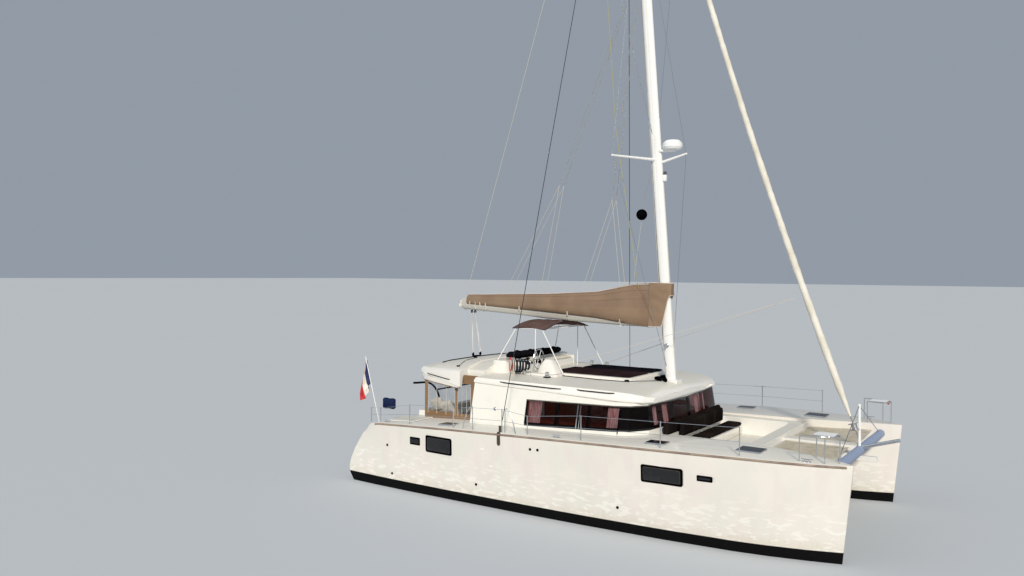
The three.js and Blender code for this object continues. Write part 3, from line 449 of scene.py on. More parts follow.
    def _weave(self, look: Look) -> bpy.types.Material:
        """Woven canvas or upholstery: crossing threads, fading and soft creases.

        Args:
            look: the tree under construction.

        Returns:
            The material.
        """
        warp = (look.x * 1500.0 + look.z * 1300.0).wave()
        weft = (look.y * 1500.0 - look.z * 1300.0).wave()
        fade = look.noise(1.7, 5.0).rise(0.35, 0.7)
        crease = look.noise(6.0, 4.0, (1.0, 1.0, 2.5))
        base = look.mix(fade, self.colour, self.second)
        colour = look.mix(warp * weft * 0.25, base, self._shade(0.6))
        rough = self.rough + crease * 0.12
        return look.done(self._sockets(colour, rough), crease * 0.9 + warp * weft * 0.1, 0.35, 0.012)

    def _brushed(self, look: Look) -> bpy.types.Material:
        """Polished or drawn metal: fine lines, tea stains and dull patches.

        Args:
            look: the tree under construction.

        Returns:
            The material.
        """
        lines = look.noise(30.0, 3.0, (0.4, 9.0, 9.0))
        stain = look.noise(4.0, 5.0).rise(0.55, 0.8)
        colour = look.mix(stain * 0.35, self.colour, self.second)
        rough = self.rough + lines * 0.1 + stain * 0.2
        return look.done(self._sockets(colour, rough), lines, 0.06, 0.0006)

    def _weathered(self, look: Look) -> bpy.types.Material:
        """Old paint: chalky patches, chips and wear.

        Args:
            look: the tree under construction.

        Returns:
            The material.
        """
        patch = look.noise(2.4, 6.0).rise(0.42, 0.62)
        chip = look.noise(22.0, 4.0).rise(0.6, 0.68)
        colour = look.mix(chip * 0.7, look.mix(patch, self.colour, self.second), self._shade(1.5))
        rough = self.rough + patch * 0.15 + chip * 0.1
        return look.done(self._sockets(colour, rough), chip * -1.0 + patch * 0.2, 0.3, 0.0012)

    def _grain(self, look: Look) -> bpy.types.Material:
        """Varnished wood with its planks' grain and caulked seams.

        Args:
            look: the tree under construction.

        Returns:
            The material.
        """
        warp = look.noise(2.0, 3.0, (0.4, 3.0, 3.0)) * 9.0
        rings = (look.y * 260.0 + look.z * 120.0 + warp).wave()
        seam = (look.y * 42.0).math("FRACT", look.y * 18.0).over(0.955)
        colour = look.mix(seam, look.mix(rings, self.colour, self.second), (0.02, 0.018, 0.015))
        rough = self.rough + rings * 0.1
        return look.done(self._sockets(colour, rough), rings * 0.3 - seam, 0.2, 0.001)

    def _laid(self, look: Look) -> bpy.types.Material:
        """Rope and wire: twisted strands with a fleck of a second colour.

        Args:
            look: the tree under construction.

        Returns:
            The material.
        """
        twist = (look.x * 400.0 + look.y * 300.0 + look.z * 520.0).wave()
        fleck = look.noise(90.0, 2.0).rise(0.55, 0.62)
        colour = look.mix(fleck * 0.6, look.mix(twist * 0.4, self.colour, self._shade(0.6)), self.second)
        rough = self.rough + twist * 0.1
        return look.done(self._sockets(colour, rough), twist, 0.4, 0.0015)

    def _knotted(self, look: Look) -> bpy.types.Material:
        """Square netting that lets the light through between its cords.

        Args:
            look: the tree under construction.

        Returns:
            The material.
        """
        step = math.tau / 0.035
        cords = ((look.x * step).wave().rise(0.62, 0.8) + (look.y * step).wave().rise(0.62, 0.8))
        solid = cords.math("MINIMUM", cords, 1.0)
        colour = look.mix(look.noise(4.0, 4.0).rise(0.4, 0.7), self.colour, self.second)
        sockets = self._sockets(colour, look.noise(40.0, 2.0) * 0.1 + self.rough)
        sockets["Alpha"] = solid * (1.0 - self.alpha) + self.alpha
        return look.done(sockets, cords, 0.5, 0.003)

    def _clear(self, look: Look) -> bpy.types.Material:
        """Acrylic or clear vinyl: dust, smears and a slight buckle.

        Args:
            look: the tree under construction.

        Returns:
            The material.
        """
        dust = look.noise(5.0, 5.0).rise(0.45, 0.8)
        colour = look.mix(dust * 0.4, self.colour, self.second)
        sockets = self._sockets(colour, look.noise(12.0, 3.0) * 0.08 + self.rough)
        sockets["Alpha"] = dust * 0.09 + self.alpha
        return look.done(sockets, look.noise(3.5, 2.0), 0.12, 0.02)

    def _folds(self, look: Look) -> bpy.types.Material:
        """Thin curtain cloth with upright folds, darkened by painted shade along them.

        Args:
            look: the tree under construction.

        Returns:
            The material.
        """
        threads = (look.z * 1600.0).wave() * ((look.x + look.y) * 1600.0).wave()
        # Painted shade: the upright noise that raises the folds also darkens the cloth towards its second
        # colour.
        shade = look.noise(9.0, 2.0, (3.0, 3.0, 0.15))
        colour = look.mix(shade.rise(0.4, 0.65), self.colour, self.second)
        woven = look.mix(threads * 0.15, colour, self._shade(0.5))
        return look.done(self._sockets(woven, threads * 0.1 + self.rough), shade, 0.3, 0.01)


GELCOAT = Finish("gelcoat_white", "ebe7df", rough=0.26, coat=0.35, slot="gelcoat")
TOPSIDES = Finish("topsides", "e9e2da", Pattern.WATERLINE, "030304", 0.3, coat=0.5, slot="gelcoat",
                  shine=0.14)
DECKING = Finish("deck_moulding", "f1eee7", Pattern.DECK, "dcd8cd", 0.3, coat=0.2, slot="deck")
ANTIFOUL = Finish("bottom_paint", "23262b", Pattern.WEATHERED, "3a3d42", 0.75, slot="antifouling", shine=0.0)
BRONZE = Finish("bronze", "8d6a3c", Pattern.BRUSHED, "4f5a43", 0.35, 1.0, slot="bronze")
STEEL = Finish("stainless_rail", "d6d8da", Pattern.BRUSHED, "a58f6d", 0.16, 1.0, slot="stainless")
DULL = Finish("dull_steel", "5d544c", Pattern.BRUSHED, "4a4038", 0.5, 0.6, slot="stainless")
ALLOY = Finish("anodised_alloy", "c4c6c8", Pattern.BRUSHED, "8f9193", 0.34, 1.0, slot="anodised")
SPAR = Finish("spar_paint", "f2f1ee", rough=0.3, coat=0.2, slot="mast_paint")
# Boom: its grey is painted shade, the spar's white darkened as on the boom's shaded side.
BOOM_PAINTED_SHADE = Finish("boom_painted_shade", "bdbab2", rough=0.4, slot="mast_paint", shine=0.3)
TRACK = Finish("spar_track", "6d665f", Pattern.BRUSHED, "5f6367", 0.45, 0.8, slot="anodised")
# Crossbeam: its blue-grey is painted shade, the colour of the light beam's shaded face under the sky.
BEAM = Finish("beam_painted_shade", "8e9dba", Pattern.BRUSHED, "a9b5c9", 0.5, slot="blue_grey_paint")
PLASTIC = Finish("white_plastic", "f4f4f2", rough=0.35, slot="white_plastic")
SHELL = Finish("engine_enamel", "5d6973", Pattern.WEATHERED, "474f57", 0.5, slot="engine_paint")
SMOKED = Finish("smoked_acrylic", "0c0606", Pattern.CLEAR, "1d1311", 0.05, shine=0.08, alpha=0.42,
                slot="glass")
LIGHT_LID = Finish("hatch_acrylic", "070a10", Pattern.CLEAR, "141a26", 0.12, shine=0.15, alpha=0.93,
                   slot="dark_acrylic")
PANE = Finish("hull_pane", "0a0b0e", Pattern.CLEAR, "1a1c22", 0.08, coat=0.3, alpha=0.97,
              slot="dark_acrylic")
VINYL = Finish("clear_vinyl", "2c3340", Pattern.CLEAR, "5b6472", 0.07, coat=0.2, alpha=0.12,
               slot="tan_canvas")
RUBBER = Finish("black_trim", "060607", Pattern.WEATHERED, "0c0c0e", 0.55, slot="black_canvas", shine=0.0)
TAN = Finish("tan_canvas", "84694f", Pattern.WEAVE, "92775c", 0.85, slot="tan_canvas", shine=0.2)
EDGE = Finish("deck_edge_strip", "9d8b7a", Pattern.WEATHERED, "87766a", 0.6, slot="tan_canvas")
TAUPE = Finish("bag_canvas", "8a735f", Pattern.WEAVE, "957e68", 0.88, slot="taupe_canvas", shine=0.2)
TAUPE_DARK = Finish("bag_flap", "836c59", Pattern.WEAVE, "8e7762", 0.88, slot="taupe_canvas")
PIPING = Finish("piping", "dccfc6", Pattern.WEAVE, "cdbdb2", 0.8, slot="taupe_canvas")
AWNING = Finish("awning_canvas", "5f4c49", Pattern.WEAVE, "6f5a55", 0.88, slot="taupe_canvas", shine=0.0)
BLACK = Finish("black_canvas", "131218", Pattern.WEAVE, "1c1b20", 0.85, slot="black_canvas", shine=0.0)
BROWN = Finish("brown_canvas", "281b1e", Pattern.WEAVE, "34272a", 0.86, slot="brown_canvas", shine=0.0)
DARK_PAD = Finish("brown_upholstery", "1b1716", Pattern.WEAVE, "26211f", 0.8, slot="brown_cushion", shine=0.0)
PALE_PAD = Finish("pale_upholstery", "e7e3d9", Pattern.WEAVE, "d6cfc0", 0.85, slot="pale_cushion")
NAVY = Finish("navy_canvas", "141c38", Pattern.WEAVE, "232e4c", 0.85, slot="black_canvas", shine=0.0)
# Curtain cloth: its emission is painted light standing in for the light on the curtains, and its second
# colour is painted shade in the folds.
ROSE = Finish("curtain_cloth_painted_light_and_shade", "ffd0d2", Pattern.FOLDS, "e09a9e", 0.9, slot="pale_cushion", painted_glow=0.26)
SAIL = Finish("sailcloth", "ece7db", Pattern.WEAVE, "d9d1c0", 0.7, slot="sailcloth")
TEAK = Finish("teak", "a0714a", Pattern.GRAIN, "8a5c39", 0.5, slot="teak")
NET = Finish("netting", "cbbfa7", Pattern.KNOTTED, "b5a78d", 0.9, alpha=0.12, slot="net")
CORDAGE = Finish("beige_rope", "d7cfbf", Pattern.LAID, "a89c86", 0.85, slot="net")
LIME = Finish("lime_rope", "b5b070", Pattern.LAID, "8d8a4e", 0.85, slot="net")
DARK_ROPE = Finish("dark_rope", "23272e", Pattern.LAID, "3d4550", 0.8, slot="black_canvas", shine=0.0)
WIRE = Finish("rigging_wire", "9aa0a6", Pattern.LAID, "c9cdd1", 0.3, 0.9, slot="stainless")
DARK_WIRE = Finish("shroud_wire", "142033", Pattern.LAID, "2b3b50", 0.4, 0.5, slot="stainless")
# Folded cloths: each second colour is painted shade in the folds.
BLUE_CLOTH = Finish("blue_bunting", "2c3560", Pattern.FOLDS, "1b2650", 0.85, slot="sailcloth")
PALE_CLOTH = Finish("pale_bunting", "f0ebe2", Pattern.FOLDS, "cdc3b6", 0.85, slot="sailcloth")
RED_CLOTH = Finish("red_bunting", "d9393f", Pattern.FOLDS, "8f2228", 0.85, slot="sailcloth")
WALLS = Finish("house_walls", "f0ede4", Pattern.GLAZED, "0c0a0a", 0.28, coat=0.3, slot="gelcoat")
# Saloon veneer: its emission is painted light standing in for the light inside the saloon.
WOOD = Finish("saloon_veneer_painted_light", "a3482c", Pattern.GRAIN, "71301d", 0.4, coat=0.1, slot="teak", painted_glow=0.1)
AMBER = Finish("lamp_orange", "d9662c", rough=0.3, coat=0.5, slot="white_plastic")


class Form:
    """A mesh under construction, shaped with bmesh operators."""

    def __init__(self) -> None:
        """Starts empty, with the first finish in hand."""
        self.mesh = bmesh.new()
        self.layer = 0

    def use(self, layer: int) -> Form:
        """Takes up the finish of that number for what follows."""
        self.layer = layer
        return self

    def add(self, part: bmesh.types.BMesh, layered: bool = False) -> Form:
        """Takes a finished part in.

        Args:
            part: the part, which is freed.
            layered: whether its faces already have their finishes.

        Returns:
            This form.
        """
        for face in part.faces:
            face.smooth = True
            if not layered:
                face.material_index = self.layer
        part.normal_update()
        held = bpy.data.meshes.new("held")
        part.to_mesh(held)
        part.free()
        self.mesh.from_mesh(held)
        bpy.data.meshes.remove(held)
        return self

    def block(self, low: Point, high: Point, round_off: float) -> Form:
        """A box between two corners with its edges rounded.

        Args:
            low: the lowest corner.
            high: the highest corner.
            round_off: the edges' radius.

        Returns:
            This form.
        """
        low, high = Vector(low), Vector(high)
        part = bmesh.new()
        bmesh.ops.create_cube(part, size=1.0)
        bmesh.ops.scale(part, vec=high - low, verts=part.verts)
        round_edges(part, round_off)
        bmesh.ops.transform(part, matrix=Matrix.Translation((low + high) / 2), verts=part.verts)
        return self.add(part)

    def loft(self, rings: Sequence[Sequence[Point]], layers: Sequence[int] = ()) -> Form:
        """A skin through closed rings of equal count, drawn out ring by ring.

        Args:
            rings: points of each ring.
            layers: a finish for each place round the ring.

        Returns:
            This form.
        """
        part = bmesh.new()
        count = len(rings[0])
        line = bmesh.ops.create_circle(part, cap_ends=False, segments=count, radius=1.0)["verts"]
        for vert, point in zip(line, rings[0]):
            vert.co = point
        edges = [part.edges.get((line[i], line[(i + 1) % count])) for i in range(count)]
        for ring in rings[1:]:
            drawn = bmesh.ops.extrude_edge_only(part, edges=edges)["geom"]
            fresh = {v for v in drawn if isinstance(v, bmesh.types.BMVert)}
            line = [next(e.other_vert(v) for e in v.link_edges if e.other_vert(v) in fresh) for v in line]
            edges = [part.edges.get((line[i], line[(i + 1) % count])) for i in range(count)]
            for vert, point in zip(line, ring):
                vert.co = point
            if layers:
                for i, edge in enumerate(edges):
                    edge.link_faces[0].material_index = layers[i]
        bmesh.ops.holes_fill(part, edges=[e for e in part.edges if e.is_boundary], sides=count)
        bmesh.ops.recalc_face_normals(part, faces=part.faces)
        return self.add(part, bool(layers))

    def tube(self, path: Sequence[Point], radius: float | Sequence[float], sides: int = 8,
             flat: float = 1.0) -> Form:
        """A round bar that follows a path.

        Args:
            path: points along its middle.
            radius: its radius, or one for each point.
            sides: faces round it.
            flat: its height as a share of its width.

        Returns:
            This form.
        """
        points = [Vector(p) for p in path]
        radii = [radius] * len(points) if isinstance(radius, (int, float)) else list(radius)
        rings = []
        aim = (points[1] - points[0]).normalized()
        level = aim.cross(Vector((0, 0, 1)))
        across = (aim.orthogonal() if abs(aim.z) > 0.98 else level).normalized()
        for i, point in enumerate(points):
            ahead = (points[min(i + 1, len(points) - 1)] - points[max(i - 1, 0)]).normalized()
            across = (across - ahead * across.dot(ahead)).normalized()
            up = ahead.cross(across)
            rings.append([point + radii[i] * (across * math.cos(t) + up * math.sin(t) * flat)
                          for t in angles(sides)])
        return self.loft(rings)

    def lathe(self, outline: Sequence[Sequence[float]], foot: Point, aim: Point = (0, 0, 1),
              steps: int = 20) -> Form:
        """A turned shape.

        Args:
            outline: radius and height, from foot to head.
            foot: where height is 0.
            aim: the axis's direction.
            steps: faces round it.

        Returns:
            This form.
        """
        part = bmesh.new()
        verts = [part.verts.new((radius, 0, height)) for radius, height in outline]
        edges = [part.edges.new(pair) for pair in zip(verts, verts[1:])]
        bmesh.ops.spin(part, geom=[*verts, *edges], cent=(0, 0, 0), axis=(0, 0, 1), angle=math.tau,
                       steps=steps, use_merge=True, use_duplicate=False)
        bmesh.ops.remove_doubles(part, verts=part.verts, dist=1e-5)
        bmesh.ops.recalc_face_normals(part, faces=part.faces)
        turn = Vector((0, 0, 1)).rotation_difference(Vector(aim)).to_matrix().to_4x4()
        bmesh.ops.transform(part, matrix=Matrix.Translation(foot) @ turn, verts=part.verts)
        return self.add(part)

    def ball(self, centre: Point, radii: Point, steps: int = 14) -> Form:
        """An egg shape.

        Args:
            centre: its middle.
            radii: its half sizes.
            steps: faces round it.

        Returns:
            This form.
        """
        part = bmesh.new()
        bmesh.ops.create_uvsphere(part, u_segments=steps, v_segments=steps // 2 + 1, radius=1.0)
        place = Matrix.Translation(centre) @ Matrix.Diagonal((*radii, 1))
        bmesh.ops.transform(part, matrix=place, verts=part.verts)
        return self.add(part)

    def sheet(self, across: int, along: int, place: Callable[[float, float], Point],
              thick: float = 0.0) -> Form:
        """A sheet whose points are set from two shares.

        Args:
            across: faces across.
            along: faces along.
            place: takes two shares from 0 to 1 and gives the point.
            thick: its thickness, or 0 for none.

        Returns:
            This form.
        """
        part = bmesh.new()
        bmesh.ops.create_grid(part, x_segments=across, y_segments=along, size=0.5)
        for vert in part.verts:
            vert.co = place(vert.co.x + 0.5, vert.co.y + 0.5)
        if thick:
            bmesh.ops.solidify(part, geom=part.faces[:], thickness=thick)
        return self.add(part)

    def made(self, name: str, finishes: Finish | Sequence[Finish], body: str = PLATFORM, crease: float = 40.0,
             levels: int = 0) -> bpy.types.Object:
        """Turns the form into a piece that rides on a body.

        Args:
            name: the piece's name.
            finishes: its finishes, in the order of their numbers.
            body: the body that carries it, or nothing where it is left unattached.
            crease: edges sharper than this many degrees stay crisp.
            levels: subdivision steps.

        Returns:
            The piece.
        """
        finishes = [finishes] if isinstance(finishes, Finish) else list(finishes)
        for edge in self.mesh.edges:
            edge.smooth = len(edge.link_faces) == 2 and edge.calc_face_angle(0.0) < math.radians(crease)
        mesh = bpy.data.meshes.new(name)
        self.mesh.to_mesh(mesh)
        self.mesh.free()
        for finish in finishes:
            mesh.materials.append(finish.material())
        piece = bpy.data.objects.new(name, mesh)
        bpy.context.scene.collection.objects.link(piece)
        if levels:
            bend = piece.modifiers.new("rounding", "SUBSURF")
            bend.levels = bend.render_levels = levels
        if body:
            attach(piece, body)
        area = sum(face.area for face in mesh.polygons)
        LOG.info("piece %s on %s: %d faces, %.3f m2", name, body, len(mesh.polygons), area)
        return piece


@dataclass
class Boat:
    """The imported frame, and how new pieces find their place on it."""

    frame: dict = field(default_factory=dict)
    bodies: dict[str, str] = field(default_factory=dict)
    trees: dict[str, BVHTree] = field(default_factory=dict)

    def load(self) -> None:
        """Loads the frame and notes which body holds each node."""
        self.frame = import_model()
        for body, nodes in self.frame["record"]["behaviour"]["bodies"].items():
            self.bodies.update(dict.fromkeys(nodes, body))

    def hit(self, node: str, start: Point, aim: Point) -> tuple[Vector, Vector]:
        """Finds where a straight line meets a node.

        Args:
            node: the node's name.
            start: where the line starts.
            aim: where it goes.

        Returns:
            The point and the surface's direction there.
        """
        if node not in self.trees:
            mesh = self.frame["nodes"][node].data
            faces = [tuple(face.vertices) for face in mesh.polygons]
            self.trees[node] = BVHTree.FromPolygons([v.co for v in mesh.vertices], faces)
        point, normal, _, _ = self.trees[node].ray_cast(Vector(start), Vector(aim).normalized())
        if point is None:
            raise ValueError(f"nothing of {node} lies from {tuple(start)} towards {tuple(aim)}")
        return point, normal

    def top(self, node: str, x: float, y: float) -> Vector:
        """The highest point of a node at a place."""
        return self.hit(node, (x, y, 8.0), (0, 0, -1))[0]

    def hull(self, sign: float) -> str:
        """The name of the hull on one side."""
        return "hull_port" if sign > 0 else "hull_starboard"

    def side(self, x: float, z: float, sign: float, node: str = "") -> Vector:
        """The outermost point of a hull, or another node, at a place on one side."""
        return self.hit(node or self.hull(sign), (x, sign * 6.0, z), (0, -sign, 0))[0]

    def skin(self, node: str, finishes: Finish | Sequence[Finish], bevel: float = 0.006, crease: float = 30.0,
             paint: Callable[[bmesh.types.BMFace], int] | None = None) -> bpy.types.Object:
        """Puts a smooth, soft-edged skin in a node's place.

        Args:
            node: the node that it stands for.
            finishes: the skin's finishes.
            bevel: the edges' rounding in metres.
            crease: edges sharper than this many degrees are rounded.
            paint: gives each face the number of its finish.

        Returns:
            The skin.
        """
        part = bmesh.new()
        part.from_mesh(self.frame["nodes"][node].data)
        bmesh.ops.remove_doubles(part, verts=part.verts, dist=2e-5)
        bmesh.ops.dissolve_limit(part, angle_limit=math.radians(0.4), verts=part.verts, edges=part.edges)
        for face in part.faces:
            face.material_index = paint(face) if paint else 0
        form = Form().add(part, True)
        piece = form.made(f"{node}_skin", finishes, self.bodies[node], crease)
        if bevel:
            edge = piece.modifiers.new("soft_edges", "BEVEL")
            edge.width, edge.segments, edge.limit_method = bevel, 2, "ANGLE"
            edge.angle_limit = math.radians(crease)
            edge.harden_normals = True
        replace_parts(piece, node)
        return piece


@dataclass
class Studio:
    """Camera, floor and light."""

    place: Point = (10.76738, -21.60355, 6.09497)
    right: Point = (0.83127867, 0.55579488, 0.00823609)
    up: Point = (-0.01653108, 0.00990899, 0.99981425)
    forward: Point = (-0.55561003, 0.83126041, -0.01742502)
    focal: float = 841.685
    width: int = 1024
    floor_half: float = 600.0
    # name, direction to it, strength, colour, angle in degrees
    lamps: tuple = (("key", (0.45, -0.72, 0.53), 2.9, (1.0, 0.94, 0.84), 6.0),
                    ("fill", (-0.7, -0.5, 0.6), 0.3, (0.85, 0.92, 1.0), 50.0))
    sky: Colour = (0.72, 0.82, 0.95)
    sky_strength: float = 0.4

    def build(self) -> None:
        """Sets up everything that isn't the boat."""
        self._camera()
        self._floor()
        self._light()

    def _camera(self) -> None:
        """The photograph's own viewpoint."""
        lens = bpy.data.cameras.new("photo_camera")
        lens.sensor_width = 36.0
        lens.lens = self.focal * 36.0 / self.width
        lens.clip_end = 2000.0
        camera = bpy.data.objects.new("photo_camera", lens)
        columns = [Vector(self.right), Vector(self.up), -Vector(self.forward), Vector(self.place)]
        camera.matrix_world = Matrix([[*(c[i] for c in columns)] for i in range(3)] + [[0, 0, 0, 1]])
        bpy.context.scene.collection.objects.link(camera)
        bpy.context.scene.camera = camera

    def _floor(self) -> None:
        """A plain pale floor at the waterline."""
        grid = bmesh.new()
        bmesh.ops.create_grid(grid, x_segments=1, y_segments=1, size=self.floor_half)
        mesh = bpy.data.meshes.new("floor")
        grid.to_mesh(mesh)
        grid.free()
        look = Look("floor_paint")
        colour = look.mix(look.noise(0.05, 2.0) * 0.2, linear("c9cdd1"), linear("bfc4c9"))
        mesh.materials.append(look.done({"Base Color": colour, "Roughness": 0.8, "Specular IOR Level": 0.05}))
        floor = bpy.data.objects.new("floor", mesh)
        bpy.context.scene.collection.objects.link(floor)

    def _light(self) -> None:
        """A warm low key, a cool fill and an even sky."""
        for name, aim, power, colour, spread in self.lamps:
            lamp = bpy.data.lights.new(name, "SUN")
            lamp.energy, lamp.color, lamp.angle = power, colour, math.radians(spread)
            sun = bpy.data.objects.new(name, lamp)
            sun.rotation_euler = Vector(aim).to_track_quat("Z", "Y").to_euler()
            bpy.context.scene.collection.objects.link(sun)
        world = bpy.data.worlds.new("studio_sky")
        world.use_nodes = True
        ground = world.node_tree.nodes["Background"]
        ground.inputs["Color"].default_value = (*self.sky, 1.0)
        ground.inputs["Strength"].default_value = self.sky_strength
        bpy.context.scene.world = world
        colours = bpy.context.scene.view_settings
        colours.view_transform, colours.look = "Standard", "None"


@dataclass
class Hulls:
    """Both hulls' skins, rails, panes, hatches and what hangs under them."""

    boat: Boat
    rail_from: float = -5.95
    rail_to: float = 6.86
    # x, z, length, height
    panes: tuple = ((-3.455, 1.43, 0.87, 0.40), (-4.315, 1.44, 0.31, 0.15), (3.02, 1.525, 0.94, 0.35),
                    (4.02, 1.575, 0.29, 0.07))
    # layer, growth of the outline, how far it stands out
    pane_layers: tuple = ((0, 0.03, 0.010), (1, -0.022, 0.013), (2, -0.030, 0.016))
    # x, z
    outlets: tuple = ((-0.48, 1.70), (-0.26, 1.71), (-5.4, 1.19), (-5.2, 0.41), (-2.2, 0.55), (1.9, 0.6))
    covers: tuple = ((-6.45, 0.89), (-1.98, 1.51), (-1.71, 1.10))
    # x, distance in from the side
    cleats: tuple = ((-5.55, 0.16), (0.2, 0.14), (6.1, 0.12))
    # the keeper's place, its ends and its screws, up its length
    keeper_x: float = -1.44
    keeper_ends: tuple = (1.68, 2.03)
    keeper_heights: tuple = (1.68, 1.72, 1.85, 1.99, 2.03)
    screw_heights: tuple = (1.75, 1.82, 1.9)
    side_top: float = 1.86
    # after end, fore end, height
    treads: tuple = ((-6.9, -6.64, 0.47), (-6.57, -6.37, 0.79), (-6.30, -6.10, 1.11))

    def build(self) -> None:
        """Makes all of it, one side after the other."""
        for name, sign in SIDES.items():
            self._skins(name)
            self._rail(name, sign)
            self._windows(name, sign)
            self._fittings(name, sign)

    def _skins(self, name: str) -> None:
        """Skins for one side's solid parts.

        Args:
            name: the side's name.
        """
        boat = self.boat
        boat.skin(f"hull_{name}", TOPSIDES, 0.01, 28.0)
        boat.skin(f"keel_{name}", ANTIFOUL, 0.01)
        boat.skin(f"saildrive_{name}", ANTIFOUL, 0.006)
        boat.skin(f"propeller_{name}", BRONZE, 0.003)
        boat.skin(f"rudder_{name}", ANTIFOUL, 0.004)
        boat.skin(f"engine_{name}", SHELL, 0.01)
        boat.skin(f"engine_hatch_{name}", DECKING, 0.008)
        for lid in ("bow", "fore", "aft"):
            boat.skin(f"{lid}_hatch_{name}", (ALLOY, LIGHT_LID), 0.006,
                      paint=lambda face: int(face.normal.z > 0.8))

    def _rail(self, name: str, sign: float) -> None:
        """The tan strip along the deck's edge.

        Args:
            name: the side's name.
            sign: 1 for port, -1 for starboard.
        """
        form = Form()
        steps = 60
        path = []
        for i in range(steps + 1):
            x = self.rail_from + (self.rail_to - self.rail_from) * i / steps
            edge = self.boat.side(x, 1.55, sign)
            z = self.boat.top(f"hull_{name}", x, edge.y - sign * 0.09).z
            edge = self.boat.side(x, z - 0.1, sign)
            path.append((x, edge.y - sign * 0.002, z - 0.045))
        form.tube(path, 0.027, 8)
        form.made(f"deck_edge_{name}", EDGE)

    def _windows(self, name: str, sign: float) -> None:
        """Rounded panes in their frames, set on the hull's side.

        Args:
            name: the side's name.
            sign: 1 for port, -1 for starboard.
        """
        form = Form()
        for x, z, long, high in self.panes:
            for layer, grow, proud in self.pane_layers:
                trim = grow if high > 0.2 else max(grow, -0.01)
                form.use(layer).loft(self._pane(sign, x, z, long / 2 + trim, high / 2 + trim, proud))
        form.made(f"hull_panes_{name}", (RUBBER, DULL, PANE))

    def _pane(self, sign: float, x: float, z: float, long: float, high: float,
              proud: float) -> list[list[Point]]:
        """Rings of a rounded plate that follows the hull's side.

        Args:
            sign: 1 for port, -1 for starboard.
            x: its middle, forward.
            z: its middle, up.
            long: half its length.
            high: half its height.
            proud: how far it stands out.

        Returns:
            Its rings, from the hull outwards.
        """
        outline = []
        corner = min(long, high) * 0.24
        for turn in range(0, 360, 15):
            angle = math.radians(turn + 7.5)
            dx = math.copysign(long - corner, math.cos(angle)) + corner * math.cos(angle)
            dz = math.copysign(high - corner, math.sin(angle)) + corner * math.sin(angle)
            outline.append((x + dx, z + dz))
        flat = []
        for dx, dz in outline:
            low = self.boat.side(dx, z - high - 0.09, sign)
            top = self.boat.side(dx, z + high + 0.09, sign)
            share = (dz - low.z) / (top.z - low.z)
            flat.append(Vector((dx, low.y + (top.y - low.y) * share, dz)))
        middle = Vector((x, sum(p.y for p in flat) / len(flat), z))
        rings = [[p + Vector((0, sign * reach, 0)) for p in flat] for reach in (-0.02, proud)]
        rings.append([middle + (p - middle) * 0.965 + Vector((0, sign * (proud + 0.004), 0)) for p in flat])
        return rings

    def _fittings(self, name: str, sign: float) -> None:
        """Outlets, cleats, side covers, a keeper amidships and the treads of the transom's steps.

        Args:
            name: the side's name.
            sign: 1 for port, -1 for starboard.
        """
        form = Form()
        ring = ((0.0, 0.012), (0.016, 0.012), (0.018, 0.016), (0.034, 0.010), (0.036, -0.004))
        for x, z in self.outlets:
            form.use(1).lathe(ring, self.boat.side(x, z, sign), (0, sign, 0), 16)
        for x, inward in self.cleats:
            base = self.boat.side(x, self.boat.top(f"hull_{name}", x, sign * HULL_CENTRE).z - 0.08, sign)
            top = self.boat.top(f"hull_{name}", x, base.y - sign * inward)
            self._cleat(form, top)
        half = Vector((0.06, 0.012, 0.018))
        for x, z in self.covers:
            spot = self.boat.side(x, z, sign)
            form.use(2).block(spot - half, spot + half, 0.008)
        self._keeper(form, sign)
        form.made(f"hull_fittings_{name}", (STEEL, RUBBER, PLASTIC, DULL))
        steps = Form()
        for x0, x1, z in self.treads:
            steps.block((x0, sign * 2.98 - 0.46, z + 0.001), (x1, sign * 2.98 + 0.30, z + 0.012), 0.003)
        steps.made(f"step_pads_{name}", TEAK)

    def _keeper(self, form: Form, sign: float) -> None:
        """A screwed metal plate up the side amidships.

        Args:
            form: what it is added to.
            sign: 1 for port, -1 for starboard.
        """
        plate = []
        for z in self.keeper_heights:
            spot = self.boat.side(self.keeper_x, min(z, self.side_top), sign)
            wide = 0.03 if z in self.keeper_ends else 0.05
            plate.append([Vector((spot.x + a * wide, spot.y + sign * b, z))
                          for a, b in ((-1, -0.01), (1, -0.01), (1, 0.012), (-1, 0.012))])
        form.use(3).loft(plate)
        head = ((0.0, 0.0), (0.014, 0.0), (0.012, 0.008), (0.0, 0.009))
        for z in self.screw_heights:
            spot = self.boat.side(self.keeper_x, min(z, self.side_top), sign)
            form.lathe(head, spot + Vector((0, sign * 0.012, 0)), (0, sign, 0), 10)

    def _cleat(self, form: Form, top: Vector) -> None:
        """A two-horned cleat.

        Args:
            form: what it is added to.
            top: the deck under it.
        """
        horns = ((-0.13, 0.062), (-0.07, 0.055), (0, 0.05), (0.07, 0.055), (0.13, 0.062))
        form.use(0).tube([top + Vector((dx, 0, dz)) for dx, dz in horns],
                         [0.008, 0.013, 0.015, 0.013, 0.008], 8)
        for dx in (-0.045, 0.045):
            form.tube([top + Vector((dx, 0, -0.004)), top + Vector((dx, 0, 0.05))], 0.011, 8)
        form.block(top + Vector((-0.09, -0.022, -0.003)), top + Vector((0.09, 0.022, 0.007)), 0.003)


